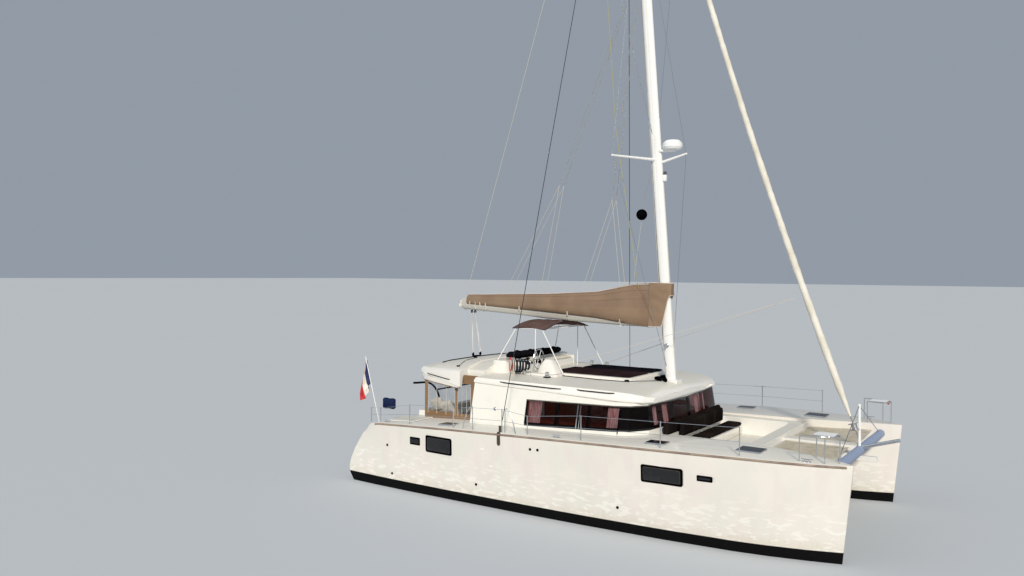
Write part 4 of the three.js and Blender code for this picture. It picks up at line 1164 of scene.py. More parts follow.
@dataclass
class House:
    """Deckhouse, roof, saloon and what shows through its windows."""

    boat: Boat
    # after end, fore end, side
    curtains: tuple = ((-1.32, -0.90, -1.0), (1.05, 1.41, -1.0), (-1.30, -0.92, 1.0), (1.05, 1.40, 1.0))
    # starboard end, port end
    fronts: tuple = ((-2.0, -1.68), (-1.37, -1.11), (0.71, 0.98), (1.3, 1.56))
    fullness: float = 1.5
    # x, width, finish
    bars: tuple = ((-0.355, 0.02, 0), (0.25, 0.03, 1), (0.33, 0.02, 1), (0.565, 0.02, 0), (1.43, 0.03, 0))
    wall_slope: float = 0.236
    # after end, fore end, and the height at each
    grab_rails: tuple = ((-2.225, -0.307, 3.13, 3.09), (0.154, 1.2, 3.11, 3.10))
    # x, y
    roof_line: tuple = ((-2.17, -1.22), (-1.55, -1.25), (0.07, -1.36), (0.82, -1.25), (1.43, -0.36))
    roof_blocks: tuple = ((0.85, -1.20), (1.40, -0.30), (1.36, 0.30), (1.5, -0.2))

    def build(self) -> None:
        """Makes the skins, trims, curtains and furniture."""
        boat = self.boat
        boat.skin("bridge_deck", DECKING, 0.012)
        boat.skin("saloon_walls", (WALLS, WOOD), 0.012, paint=self._inward)
        boat.skin("saloon_glass", SMOKED, 0.003)
        boat.skin("saloon_bulkhead", (GELCOAT, WOOD), 0.01, paint=self._inward)
        boat.skin("sliding_door", (ALLOY, SMOKED), 0.004, paint=lambda face: int(face.calc_area() > 0.5))
        boat.skin("coachroof", DECKING, 0.045, 22.0)
        boat.skin("cockpit_hardtop", (DECKING, TAN), 0.06, 24.0,
                  lambda face: int(face.calc_center_median().z < 2.85))
        boat.skin("saloon_table", TEAK, 0.01)
        boat.skin("cockpit_table", TEAK, 0.01)
        boat.skin("galley_counter", WOOD, 0.012)
        self._lining()
        self._mullions()
        self._curtains()
        self._roof_gear()

    def _inward(self, face: bmesh.types.BMFace) -> int:
        """1 where a wall faces the saloon, which is lined with veneer."""
        away = face.calc_center_median() - Vector((-0.5, 0.0, 2.4))
        return int(face.normal.dot(away) < 0 and abs(face.normal.z) < 0.6)

    def _lining(self) -> None:
        """The saloon's wooden sole and headlining."""
        form = Form()
        for lining in (("bridge_deck", 2.0, -1, 0.004), ("coachroof", 2.2, 1, -0.006)):
            def lie(u: float, v: float, lining: tuple = lining) -> Point:
                """Follows the moulding at a small distance.

                Args:
                    u: share of the length.
                    v: share of the width.
                    lining: the node, the ray's start and direction, and the gap.

                Returns:
                    The point.
                """
                node, start, aim, gap = lining
                x, y = -2.92 + 4.5 * u, -1.85 + 3.7 * v
                return self.boat.hit(node, (x, y, start), (0, 0, aim))[0] + Vector((0, 0, gap))

            form.sheet(14, 14, lie)
        form.made("saloon_lining", WOOD)

    def _mullions(self) -> None:
        """Bars between the panes, a moulded edge over them and the round lights abaft."""
        form = Form()
        slope = self.wall_slope
        for sign in SIDES.values():
            for x, wide, layer in self.bars:
                low, top = (Vector((x, sign * (2.95 - slope * (z - 1.9)), z)) for z in (2.15, 2.735))
                out = Vector((0, sign * 0.018, 0))
                form.use(layer).tube([low + out, top + out], wide / 2, 6, 0.5)
            edge = [(x, sign * (2.957 - slope * (1.036 - 0.033 * x)), 2.936 - 0.033 * x)
                    for x in (-3.05, -1.0, 1.2)]
            form.use(2).tube(edge, 0.009, 6)
        light = ((0.0, 0.03), (0.035, 0.028), (0.05, 0.016), (0.055, -0.01))
        for sign in SIDES.values():
            form.use(1).lathe(light, (-2.29, sign * (2.957 - slope * 0.5), 2.40), (0, sign, 0.2), 20)
        form.made("window_bars", (RUBBER, ALLOY, GELCOAT))

    def _curtains(self) -> None:
        """Gathered curtains close behind the windows."""
        spans = [(x0, x1, sign) for x0, x1, sign in self.curtains] + [(y0, y1, 0.0) for y0, y1 in self.fronts]
        for number, span in enumerate(spans):
            def fold(u: float, v: float, span: tuple = span) -> Point:
                """Upright folds that tighten towards the rail.

                Args:
                    u: share along the curtain.
                    v: share of its height.
                    span: its two ends, and its side or 0 for the front.

                Returns:
                    The point.
                """
                start, end, sign = span
                deep = 0.016 * math.sin(u * math.tau * 6.0) * (0.6 + 0.4 * v)
                along = start + (end - start) * u
                if sign:
                    return along, sign * (2.79 - 0.15 * v) + deep, 2.10 + 0.63 * v
                return 2.08 - 0.03 * along * along - 0.10 * v + deep, along, 2.12 + 0.60 * v

            cloth = Form().sheet(72, 6, fold).made(f"curtain_{number}", ROSE)
            wide = abs(span[1] - span[0]) * self.fullness

    def _roof_gear(self) -> None:
        """Grab rails, lines and their blocks on the roof."""
        form = Form()
        for sign in SIDES.values():
            for x0, x1, z0, z1 in self.grab_rails:
                wall = [self.boat.side(x0 + (x1 - x0) * k / 8, z0 + (z1 - z0) * k / 8, sign, "coachroof")
                        for k in range(9)]
                out = Vector((0, sign * 0.035, 0))
                form.use(0).tube([wall[0], *[spot + out for spot in wall[1:-1]], wall[-1]], 0.013, 8)
                for spot in wall[2:-1:2]:
                    form.tube([spot, spot + out], 0.009, 6)
        line = [self.boat.top("coachroof", x, y) + Vector((0, 0, 0.012)) for x, y in self.roof_line]
        form.use(1).tube(line, 0.008, 6).tube([p + Vector((0.01, 0.035, 0)) for p in line], 0.008, 6)
        for x, y in self.roof_blocks:
            spot = self.boat.top("coachroof", x, y)
            form.use(2).block(spot + Vector((-0.06, -0.035, 0)), spot + Vector((0.06, 0.035, 0.055)), 0.012)
        form.made("roof_gear", (RUBBER, DARK_ROPE, RUBBER))


@dataclass
class Cushion:
    """A crowned pad, blown up like a filled cover, with cross seams where it has them."""

    name: str
    low: Point
    high: Point
    finish: Finish
    fill: float = 0.7
    swell: float = 0.014
    seams: int = 0
    turn: Matrix | None = None
    replaces: tuple[str, ...] = ()
    voxel: float = 0.022
    cap: float = 0.010

    def build(self) -> bpy.types.Object:
        """Returns:
            The pad.
        """
        low, high = Vector(self.low), Vector(self.high)
        size = high - low
        part = bmesh.new()
        bmesh.ops.create_cube(part, size=1.0)
        bmesh.ops.scale(part, vec=size, verts=part.verts)
        thin = min(size)
        round_edges(part, thin * 0.3, 3)
        step = max(size) / 14
        for axis in range(3):
            cuts = int(size[axis] / step)
            for k in range(1, cuts):
                spot = Vector((0, 0, 0))
                spot[axis] = -size[axis] / 2 + size[axis] * k / cuts
                normal = Vector((0, 0, 0))
                normal[axis] = 1.0
                bmesh.ops.bisect_plane(part, geom=[*part.verts, *part.edges, *part.faces], plane_co=spot,
                                       plane_no=normal)
        self._inflate(part, size)
        self._crown(part, size)
        place = Matrix.Translation((low + high) / 2)
        bmesh.ops.transform(part, matrix=place @ self.turn if self.turn else place, verts=part.verts)
        levels = int(len(part.verts) < 6000)
        pad = Form().add(part).made(self.name, self.finish, crease=60.0, levels=levels)
        if self.replaces:
            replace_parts(pad, *self.replaces)
        return pad

    def _seen(self, trial: bpy.types.Object) -> bpy.types.Mesh:
        """The mesh as its modifiers leave it."""
        return bpy.data.meshes.new_from_object(trial.evaluated_get(bpy.context.evaluated_depsgraph_get()))

    def _inflate(self, part: bmesh.types.BMesh, size: Vector) -> None:
        """Blows a slightly smaller pad up with a short cloth simulation.

        Args:
            part: the pad, centred, which takes the result.
            size: its size.
        """
        bmesh.ops.scale(part, vec=[(length - 1.7 * self.cap) / length for length in size], verts=part.verts)
        mesh = bpy.data.meshes.new("pad_start")
        part.to_mesh(mesh)
        trial = bpy.data.objects.new("pad_trial", mesh)
        scene = bpy.context.scene
        scene.collection.objects.link(trial)
        even = trial.modifiers.new("even", "REMESH")
        even.mode, even.voxel_size = "VOXEL", self.voxel
        trial.data = self._seen(trial)
        trial.modifiers.clear()
        air = trial.modifiers.new("air", "CLOTH").settings
        air.use_pressure, air.uniform_pressure_force = True, 4.0
        air.effector_weights.gravity = 0.0
        before = scene.frame_current
        for frame in range(1, 21):
            scene.frame_set(frame)
        start = [vert.co.copy() for vert in trial.data.vertices]
        part.clear()
        part.from_mesh(self._seen(trial))
        for vert, old in zip(part.verts, start):
            shift = vert.co - old
            vert.co = old + shift * min(1.0, self.cap / max(shift.length, 1e-6))
        bpy.data.objects.remove(trial)
        scene.frame_set(before)

    def _crown(self, part: bmesh.types.BMesh, size: Vector) -> None:
        """Swells the broad faces between their edges and draws the seams in.

        Args:
            part: the pad, centred.
            size: its size.
        """
        thin = min(range(3), key=lambda axis: size[axis])
        broad = [axis for axis in range(3) if axis != thin]
        for vert in part.verts:
            shares = [abs(vert.co[axis]) / (size[axis] / 2) for axis in broad]
            swell = max(0.0, 1 - shares[0] ** 4) * max(0.0, 1 - shares[1] ** 4)
            side = vert.co[thin] / (size[thin] / 2)
            vert.co[thin] += side * self.swell * swell
            for axis in broad:
                pull = 0.6 * self.swell * (1 - abs(side)) * math.copysign(1, vert.co[axis])
                vert.co[axis] += pull * (abs(vert.co[axis]) / (size[axis] / 2)) ** 6
            if self.seams:
                long = max(broad, key=lambda axis: size[axis])
                phase = (vert.co[long] / size[long] + 0.5) * self.seams
                vert.co[thin] -= side * self.swell * 1.3 * max(0.0, math.cos(phase * math.tau)) ** 24 * swell


@dataclass
class Cockpit:
    """Canvas screens, seats and the after end's fittings."""

    boat: Boat
    outer: float = 2.45
    # after end, fore end, top of each clear pane
    panes: tuple = ((-4.97, -3.95, 2.96), (-3.87, -3.40, 3.0))
    sill: float = 2.06
    zip_heights: tuple = (2.0, 2.3, 2.6, 2.85)
    # x, half width, top, underside
    lip: tuple = ((-5.30, 2.30, 3.16, 3.03), (-5.12, 2.46, 3.15, 2.97), (-4.7, 2.53, 3.10, 2.925),
                  (-4.2, 2.575, 3.02, 2.875), (-3.80, 2.605, 2.95, 2.835), (-3.68, 2.61, 2.93, 2.85))
    # x, y
    roof_blocks: tuple = ((-4.05, -2.2), (-4.62, -0.57), (-5.42, 0.37), (-4.1, 2.2))
    bench_top: float = 1.765
    # starboard end, port end
    after_bays: tuple = ((-1.94, -0.66), (-0.64, 0.64), (0.66, 1.94))
    # x, y, underside
    pillows: tuple = ((-4.80, -2.20, 2.02), (-4.50, -2.12, 1.96))
    flag_y: float = -3.32
    # x, z: four points across the flag, from its head to its foot
    flag: tuple = (((-6.575, 3.50), (-6.60, 3.47), (-6.62, 3.44), (-6.64, 3.41)),
                   ((-6.53, 3.20), (-6.66, 3.10), (-6.70, 3.04), (-6.73, 2.98)),
                   ((-6.47, 2.95), (-6.61, 2.82), (-6.74, 2.74), (-6.80, 2.70)),
                   ((-6.44, 2.84), (-6.53, 2.68), (-6.70, 2.54), (-6.83, 2.50)),
                   ((-6.46, 2.80), (-6.54, 2.56), (-6.64, 2.36), (-6.82, 2.28)))

    def build(self) -> None:
        """Makes the screens, their frames and the cushions."""
        for name, sign in SIDES.items():
            self._screen(name, sign)
        self._seats()
        self._lip()
        self.boat.skin("davits", RUBBER, 0.0, 50.0)
        self.boat.skin("flagstaff", SPAR, 0.0, 50.0)
        self._flag()
        self._stern_bag()

    def _screen(self, name: str, sign: float) -> None:
        """One side's canvas with clear panes and zips.

        Args:
            name: the side's name.
            sign: 1 for port, -1 for starboard.
        """
        low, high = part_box(f"cockpit_enclosure_{name}")
        y = self.outer * sign
        form = Form()

        def billow(x: float, z: float) -> float:
            """How far the cloth stands out."""
            return sign * 0.012 * math.sin(x * 9.0 + z * 2.0) * math.sin((z - low.z) * 3.1)

        def cloth_at(patch: Sequence[float], proud: float) -> Callable[[float, float], Point]:
            """A patch of cloth between two places along and two heights.

            Args:
                patch: its two ends, its foot and its head.
                proud: how far it stands out.

            Returns:
                What turns two shares into a point.
            """
            def place(u: float, v: float) -> Point:
                """A point of the patch."""
                x, z = patch[0] + (patch[1] - patch[0]) * u, patch[2] + (patch[3] - patch[2]) * v
                return x, y + proud + billow(x, z), z
            return place

        for x0, x1, top in self.panes:
            form.use(1).sheet(10, 12, cloth_at((x0, x1, self.sill, top), 0.0), 0.002)
        bands = [(low.x, high.x, low.z, 2.07)]
        bands += [(low.x, -4.96, 2.0, 3.15), (-3.96, -3.86, 2.0, 3.15), (-3.41, high.x, 2.0, 3.15)]
        bands += [(low.x, high.x, 2.94, high.z - 0.01)]
        for band in bands:
            form.use(0).sheet(8, 6, cloth_at(band, sign * 0.004), 0.004)
        for x0, x1, _ in self.panes:
            for x in (x0 + 0.012, x1 - 0.012, (x0 * 2 + x1) / 3, (x0 + 2 * x1) / 3):
                teeth = [(x, y + sign * 0.008 + billow(x, z), z) for z in self.zip_heights]
                form.use(2).tube(teeth, 0.005, 6)
        cloth = form.made(f"cockpit_screen_{name}", (TAN, VINYL, PALE_PAD))
        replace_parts(cloth, f"cockpit_enclosure_{name}")

    def _lip(self) -> None:
        """The hardtop's side lips, the canvas track under each, grips, and a line between blocks."""
        form = Form()
        roof = "cockpit_hardtop"
        for sign in SIDES.values():
            rings = [[(x, sign * (b - 0.03), low), (x, sign * (b - 0.03), top), (x, sign * (b + 0.004), top),
                      (x, sign * (b + 0.01), (low + top) / 2), (x, sign * b, low)]
                     for x, b, top, low in self.lip]
            form.use(0).loft(rings)
            form.use(1).tube([(x, sign * (b - 0.012), low - 0.012) for x, b, _, low in self.lip], 0.014, 8)
            grip = [self.boat.side(-4.94 + 0.1 * k, 3.16 - 0.013 * k, sign, roof) for k in range(10)]
            clear = [spot + Vector((0, sign * 0.02, 0)) for spot in grip[1:-1]]
            form.use(2).tube([grip[0], *clear, grip[-1]], 0.011, 8)
        spots = [self.boat.top(roof, x, y) for x, y in self.roof_blocks]
        for spot in spots:
            form.use(2).block(spot + Vector((-0.05, -0.03, -0.004)), spot + Vector((0.05, 0.03, 0.035)), 0.01)
        across = [spots[0].lerp(spots[1], k / 6) for k in range(7)]
        form.tube([self.boat.top(roof, at.x, at.y) + Vector((0, 0, 0.01)) for at in across], 0.007, 6)
        form.made("hardtop_lips", (GELCOAT, TAN, RUBBER))

    def _seats(self) -> None:
        """The bench's base, its cushions and the pillows on it."""
        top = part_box("cockpit_bench")[1].z - 0.01
        base = Form()
        base.block((-5.25, -1.95, 1.46), (-4.62, 1.95, 1.76), 0.03)
        base.block((-4.62, -2.05, 1.46), (-3.5, -1.42, 1.76), 0.03)
        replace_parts(base.made("bench_base", GELCOAT), "cockpit_bench")
        low = self.bench_top
        for number, (y0, y1) in enumerate(self.after_bays):
            Cushion(f"after_cushion_{number}", (-5.24, y0, low), (-4.63, y1, top), PALE_PAD).build()
        lean = Matrix.Rotation(math.radians(-14), 4, "Y") @ Matrix.Rotation(math.radians(16), 4, "X")
        for number, (x, y, z) in enumerate(self.pillows):
            Cushion(f"pillow_{number}", (x - 0.21, y - 0.05, z), (x + 0.21, y + 0.05, z + 0.40), PALE_PAD,
                    swell=0.05, turn=lean).build()
        Cushion("side_cushion", (-4.60, -2.04, low), (-3.51, -1.43, top), PALE_PAD).build()

    def _flag(self) -> None:
        """A limp flag in three upright bands, hanging from its staff."""
        form = Form()

        def hang(u: float, v: float) -> Point:
            """Between the drawn corners, with folds that deepen below.

            Args:
                u: share away from the staff.
                v: share of the way down.

            Returns:
                The point.
            """
            row, column = min(int(v * 4), 3), min(int(u * 3), 2)
            down, over = v * 4 - row, u * 3 - column
            (a, b), (c, d) = (self.flag[at][column:column + 2] for at in (row, row + 1))
            x = (a[0] + (b[0] - a[0]) * over) * (1 - down) + (c[0] + (d[0] - c[0]) * over) * down
            z = (a[1] + (b[1] - a[1]) * over) * (1 - down) + (c[1] + (d[1] - c[1]) * over) * down
            return x, self.flag_y + 0.05 * math.sin(u * 15.0 + v * 3.0) * (0.3 + 0.7 * v), z

        for band in range(3):
            form.use(band).sheet(14, 36, lambda u, v, at=band: hang((at + u) / 3, v))
        flag = form.made("ensign", (BLUE_CLOTH, PALE_CLOTH, RED_CLOTH), crease=80.0)

    def _stern_bag(self) -> None:
        """A small bag on the quarter rail."""
        Cushion("quarter_bag", (-5.80, -3.53, 2.17), (-5.36, -3.38, 2.48), NAVY, fill=0.6, swell=0.03).build()


@dataclass
class Flybridge:
    """Upper deck: seats, helm, mats, rolled cover and awning."""

    boat: Boat
    # after end, starboard end, fore end, port end, finish
    mats: tuple = ((-1.56, -1.06, 0.86, 0.24, BROWN), (-1.36, 0.33, 0.86, 1.20, BLACK))
    seat_low: float = 3.473
    seat_high: float = 3.54
    roll_steps: int = 24
    lashings: tuple = (4, 10, 16, 21)
    # x, height at the awning's edge
    bows: tuple = ((-2.80, 4.50), (-2.50, 4.515), (-2.20, 4.51), (-1.92, 4.51), (-1.68, 4.49))
    # shares of the console's height
    console_rings: tuple = (0.0, 0.35, 0.6, 0.8, 0.92, 0.98, 1.0)
    # x, y
    winches: tuple = ((-1.31, -1.75), (-2.35, -1.62), (-1.20, 1.62), (-1.75, 1.66))
    # x, y, z
    dials: tuple = ((-1.79, -1.36, 3.60), (-1.79, -1.16, 3.60), (-1.79, -1.26, 3.50))
    # x, y, z, outer radius
    coils: tuple = ((-2.50, -1.16, 3.548, 0.13), (-2.36, -0.92, 3.548, 0.11), (-2.56, -0.78, 3.548, 0.12))
    # x, y, top, drop, finish
    hanks: tuple = ((-2.46, -1.845, 3.69, 0.34, 2), (-2.38, -1.85, 3.69, 0.46, 1),
                    (-2.29, -1.845, 3.68, 0.36, 0), (-2.18, -1.85, 3.67, 0.30, 0),
                    (-2.09, -1.845, 3.66, 0.28, 0), (-2.00, -1.83, 3.65, 0.25, 0),
                    (-1.91, -1.81, 3.65, 0.22, 0))
    hank_rail: tuple = ((-2.68, -1.72, 3.58), (-2.66, -1.76, 3.68), (-2.60, -1.84, 3.70),
                        (-2.10, -1.85, 3.665), (-1.86, -1.80, 3.65), (-1.82, -1.79, 3.60))
    # radius, height: a winch's base and drum, and a dial
    winch_base: tuple = ((0.0, 0.0), (0.105, 0.0), (0.11, 0.012), (0.09, 0.03), (0.0, 0.03))
    winch_drum: tuple = ((0.0, 0.03), (0.07, 0.03), (0.072, 0.05), (0.05, 0.07), (0.047, 0.12),
                         (0.06, 0.14), (0.058, 0.155), (0.03, 0.16), (0.02, 0.15), (0.0, 0.15))
    dial: tuple = ((0.0, 0.0), (0.055, 0.0), (0.055, 0.02), (0.045, 0.024), (0.0, 0.024))

    def build(self) -> None:
        """Makes it all."""
        boat = self.boat
        boat.skin("flybridge_moulding", DECKING, 0.03, 24.0)
        boat.skin("steering_wheel", (STEEL,), 0.0, 50.0)
        boat.skin("bimini_frame", SPAR, 0.0, 50.0)
        self._mats()
        self._roll()
        self._awning()
        self._helm()
        self._ropes()

    def _mats(self) -> None:
        """Sun pads on the lounge, and the seats' pads."""
        low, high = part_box("flybridge_sunpad")
        for number, (x0, y0, x1, y1, finish) in enumerate(self.mats):
            pad = Cushion(f"sun_mat_{number}", (x0, y0, low.z + 0.002), (x1, y1, high.z + 0.004), finish,
                          fill=0.5, swell=0.006, seams=3, voxel=0.032).build()
            if number == 0:
                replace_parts(pad, "flybridge_sunpad")
        for name, y0, y1, finish, seams in (("helm_seat", -1.36, -0.5, BROWN, 0),
                                            ("companion_seat", -0.44, 1.36, PALE_PAD, 2)):
            Cushion(name, (-2.68, y0, self.seat_low), (-2.29, y1, self.seat_high), finish, swell=0.008,
                    seams=seams).build()

    def _roll(self) -> None:
        """A rolled cover lashed behind the seat."""
        low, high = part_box("rolled_cover")
        start, end = Vector((-2.80, low.y + 0.03, 3.715)), Vector((-2.79, high.y - 0.03, 3.70))
        form = Form()
        steps = self.roll_steps
        path = [start.lerp(end, i / steps) for i in range(steps + 1)]
        radii = [0.116 - 0.018 * i / steps + 0.006 * math.sin(i * 1.9) - (0.04 if i in (0, steps) else 0)
                 for i in range(steps + 1)]
        form.use(0).tube(path, radii, 20, 0.96)
        for i in self.lashings:
            ring = [path[i] + Vector((math.cos(t), 0, math.sin(t))) * (radii[i] + 0.003)
                    for t in angles(20, True)]
            form.use(1).tube(ring, 0.007, 6, 3.0)
        roll = form.made("rolled_awning", (BLACK, RUBBER))
        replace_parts(roll, "rolled_cover")

    def _awning(self) -> None:
        """The awning's cloth, sagging between its bows."""
        bows = self.bows

        def cloth(u: float, v: float) -> Point:
            """A crowned sheet with a little sag between the bows.

            Args:
                u: share of the width.
                v: share of the length.

            Returns:
                The point.
            """
            along = v * (len(bows) - 1)
            i = min(int(along), len(bows) - 2)
            part = along - i
            (x0, z0), (x1, z1) = bows[i], bows[i + 1]
            side = 2 * u - 1
            sag = 0.016 * math.sin(part * math.pi) * (1 - side ** 4)
            x, z = x0 + (x1 - x0) * part, z0 + (z1 - z0) * part
            return x, side * (1.27 - 0.05 * math.sin(v * math.pi)), z + 0.2 * (1 - side * side) - sag + 0.004

        form = Form()
        form.use(0).sheet(30, 32, cloth, 0.004)
        for v in (0.0, 1.0):
            form.use(1).tube([cloth(u / 30, v) for u in range(31)], 0.009, 6)
        for u in (0.0, 1.0):
            form.tube([cloth(u, v / 30) for v in range(31)], 0.009, 6)
        sheet = form.made("awning", (AWNING, BROWN))
        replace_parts(sheet, "bimini_canopy")

    def _helm(self) -> None:
        """The helm's rounded console, its dials, the winches and the clutches."""
        rings = []
        for share in self.console_rings:
            long, wide = 0.34 * (1 - 0.72 * share ** 1.5), 0.30 * (1 - 0.66 * share ** 1.6)
            end = 0.55 if share == 1.0 else 1.0
            middle = Vector((-1.50 - 0.05 * share, -1.26, 3.30 + 0.385 * share))
            rings.append([middle + end * Vector((long * math.copysign(abs(math.cos(t)) ** 0.6, math.cos(t)),
                                                 wide * math.copysign(abs(math.sin(t)) ** 0.6, math.sin(t)),
                                                 0))
                          for t in [math.tau * (k + 0.5) / 32 for k in range(32)]])
        console = Form().loft(rings).made("helm_dome", GELCOAT, crease=70.0)
        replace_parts(console, "helm_console")
        form = Form()
        for x, y in self.winches:
            node = "flybridge_moulding" if x < -2.2 else "coachroof"
            spot = self.boat.top(node, x, y) - Vector((0, 0, 0.006))
            form.use(1).lathe(self.winch_base, spot, steps=28)
            form.use(0).lathe(self.winch_drum, spot, steps=28)
        for k in range(5):
            spot = self.boat.top("coachroof", -1.62 + 0.085 * k, 1.42)
            form.use(1).block(spot + Vector((-0.03, -0.09, -0.01)), spot + Vector((0.03, 0.09, 0.07)), 0.014)
            lever = Vector((-0.016, -0.06, 0.068)), Vector((0.016, 0.07, 0.085))
            form.use(2).block(spot + lever[0], spot + lever[1], 0.006)
        for x, y, z in self.dials:
            form.use(1).lathe(self.dial, (x + 0.015, y, z), (-1, 0, 0.1))
        form.made("helm_gear", (STEEL, RUBBER, PLASTIC))

    def _ropes(self) -> None:
        """Stowed rope ends: coils on the seat, and hanks over a rail outboard."""
        ropes = Form()
        for number, (x, y, z, radius) in enumerate(self.coils):
            turns = []
            for k in range(64):
                reach = radius - 0.0012 * k
                high = z + 0.0011 * k + 0.008 * math.sin(k * 0.9 + number)
                turns.append(Vector((x + reach * math.cos(k * 0.5), y + reach * math.sin(k * 0.5), high)))
            ropes.use(number % 2).tube(turns, 0.009, 6)
        foot = self.boat.top("coachroof", -1.82, -1.79)
        Form().tube([*self.hank_rail, foot], 0.012, 8).made("hank_rail", STEEL)
        for x, y, top, drop, layer in self.hanks:
            for turn in range(4):
                wide, half = 0.035 + 0.008 * turn, drop / 2 + 0.01 * turn
                loop = [Vector((x + wide * math.cos(t), y + 0.012 * (turn - 1.5),
                                top - drop / 2 + half * math.sin(t))) for t in angles(22, True)]
                ropes.use(layer).tube(loop, 0.009, 6)
        ropes.made("rope_tails", (DARK_ROPE, CORDAGE, RED_CLOTH))


@dataclass
class Rig:
    """Mast, boom, sails as stowed, and every line."""

    boat: Boat
    foot: tuple[float, float] = (1.6, 3.19)
    rake: float = 0.08
    # x, underside, top, half width
    bag: tuple = ((1.06, 4.64, 5.86, 0.120), (0.40, 4.69, 5.82, 0.165), (-0.68, 4.83, 5.60, 0.190),
                  (-2.37, 4.95, 5.50, 0.185), (-5.33, 5.11, 5.41, 0.130))
    # shares of the bag's half width and height, from its underside to its top
    bag_section: tuple = ((0.0, 0.0), (0.55, 0.0), (0.85, 0.06), (1.0, 0.22), (1.0, 0.42), (0.9, 0.64),
                          (0.62, 0.84), (0.22, 0.97), (0.0, 1.0))
    bag_steps: int = 56
    strap_places: tuple = (-5.2, -4.98, -4.80, -4.58, -3.3, -1.6, 0.1)
    # x, y, z of the cloth gathered at the bag's after end
    bunches: tuple = ((-5.62, 0.0, 5.16), (-5.60, -0.09, 5.06), (-5.57, 0.07, 5.22))
    # x, lowest point
    boom_keel: tuple = ((1.12, 4.66), (1.05, 4.63), (0.24, 4.643), (-1.33, 4.698), (-2.49, 4.75),
                        (-3.36, 4.822), (-5.50, 4.945), (-5.56, 4.99))
    # shares of half the boom's width, and of its depth
    boom_section: tuple = ((1, 0), (1, 0.55), (0.86, 0.82), (0.5, 0.97), (0.1, 1.0), (-0.1, 1.0),
                           (-0.5, 0.97), (-0.86, 0.82), (-1, 0.55), (-1, 0))
    boom_eyes: tuple = (-5.45, -4.95, -4.72, 0.9)
    # side, height
    mast_winches: tuple = ((-1, 4.15), (1, 4.05))
    # y
    foot_blocks: tuple = (-0.25, -0.12, 0.12, 0.25)
    # x, y, height of what is stowed at the mast's foot
    foot_gear: tuple = ((1.44, -0.36, 0.13), (1.53, -0.30, 0.17), (1.60, -0.37, 0.11), (1.36, -0.31, 0.08))
    # radius, height: the lamp, and a winch's drum
    lamp: tuple = ((0.0, 0.0), (0.05, 0.0), (0.05, 0.07), (0.035, 0.09), (0.0, 0.092))
    drum: tuple = ((0.0, 0.0), (0.062, 0.0), (0.064, 0.018), (0.042, 0.035), (0.04, 0.085),
                   (0.052, 0.105), (0.05, 0.125), (0.0, 0.128))
    # a knot's x and z, then the x and z of its two feet on the bag
    jacks: tuple = (((-1.93, 8.7), ((-3.80, 5.55), (-2.54, 5.58))),
                    ((-0.19, 8.2), ((-1.12, 5.62), (0.10, 5.74))))
    # lower end, upper end, then each strut: reach ahead, y and z of its tip, height of its root
    diamonds: tuple = ((3.6, 16.4, ((-0.718, 1.295, 9.29, 9.26), (-0.718, -1.295, 9.29, 9.26),
                                    (0.84, 0.0, 9.37, 9.15))),
                       (9.95, 21.4, ((-0.58, 1.04, 14.93, 14.9), (-0.58, -1.04, 14.93, 14.9),
                                     (0.88, 0.0, 14.95, 14.8))))
    # distance ahead of the mast's middle, y
    halyards: tuple = ((-0.16, -0.05), (-0.17, 0.06), (0.155, 0.03))
    ball_place: Point = (-0.03, 1.5, 7.88)
    # y
    track_places: tuple = (-1.7, -1.3, -0.85, -0.4, 0, 0.4, 0.85, 1.3, 1.7)
    # x at the hardtop, x at the boom, y
    sheet_parts: tuple = ((-5.14, -5.22, 0.03), (-5.14, -5.18, -0.03), (-4.86, -5.09, 0.03),
                          (-4.86, -5.05, -0.03))
    boom_block_z: float = 4.87
    sail_foot: float = 2.68
    sail_head: float = 20.9
    sail_steps: int = 220
    # height, radius, thickness
    drum_discs: tuple = ((2.36, 0.12, 0.012), (2.50, 0.12, 0.012), (2.375, 0.07, 0.125))
    stay_foot: tuple[float, float] = (6.17, 2.95)
    stay_head: float = 21.9
    stay_sag: float = 0.33

    def build(self) -> None:
        """Makes spars, fittings, the bag and the lines."""
        boat = self.boat
        boat.skin("mast", SPAR, 0.0, 40.0)
        boat.skin("radar", (PLASTIC, SPAR), 0.01, 30.0, lambda face: int(face.calc_center_median().z < 9.52))
        boat.skin("boom", BOOM_PAINTED_SHADE, 0.006, 30.0)
        for name in SIDES:
            boat.skin(f"shroud_{name}", (DARK_WIRE, DULL), 0.0, 60.0,
                      lambda face: int(face.calc_center_median().z < 2.2))
        self._mast_fittings()
        self._stowed_main()
        self._lazy_jacks()
        self._diamonds()
        self._halyards()
        self._mainsheet()
        self._furled_sail()

    def mast_x(self, z: float) -> float:
        """The mast's middle at a height."""
        return self.foot[0] - self.rake * (z - self.foot[1])

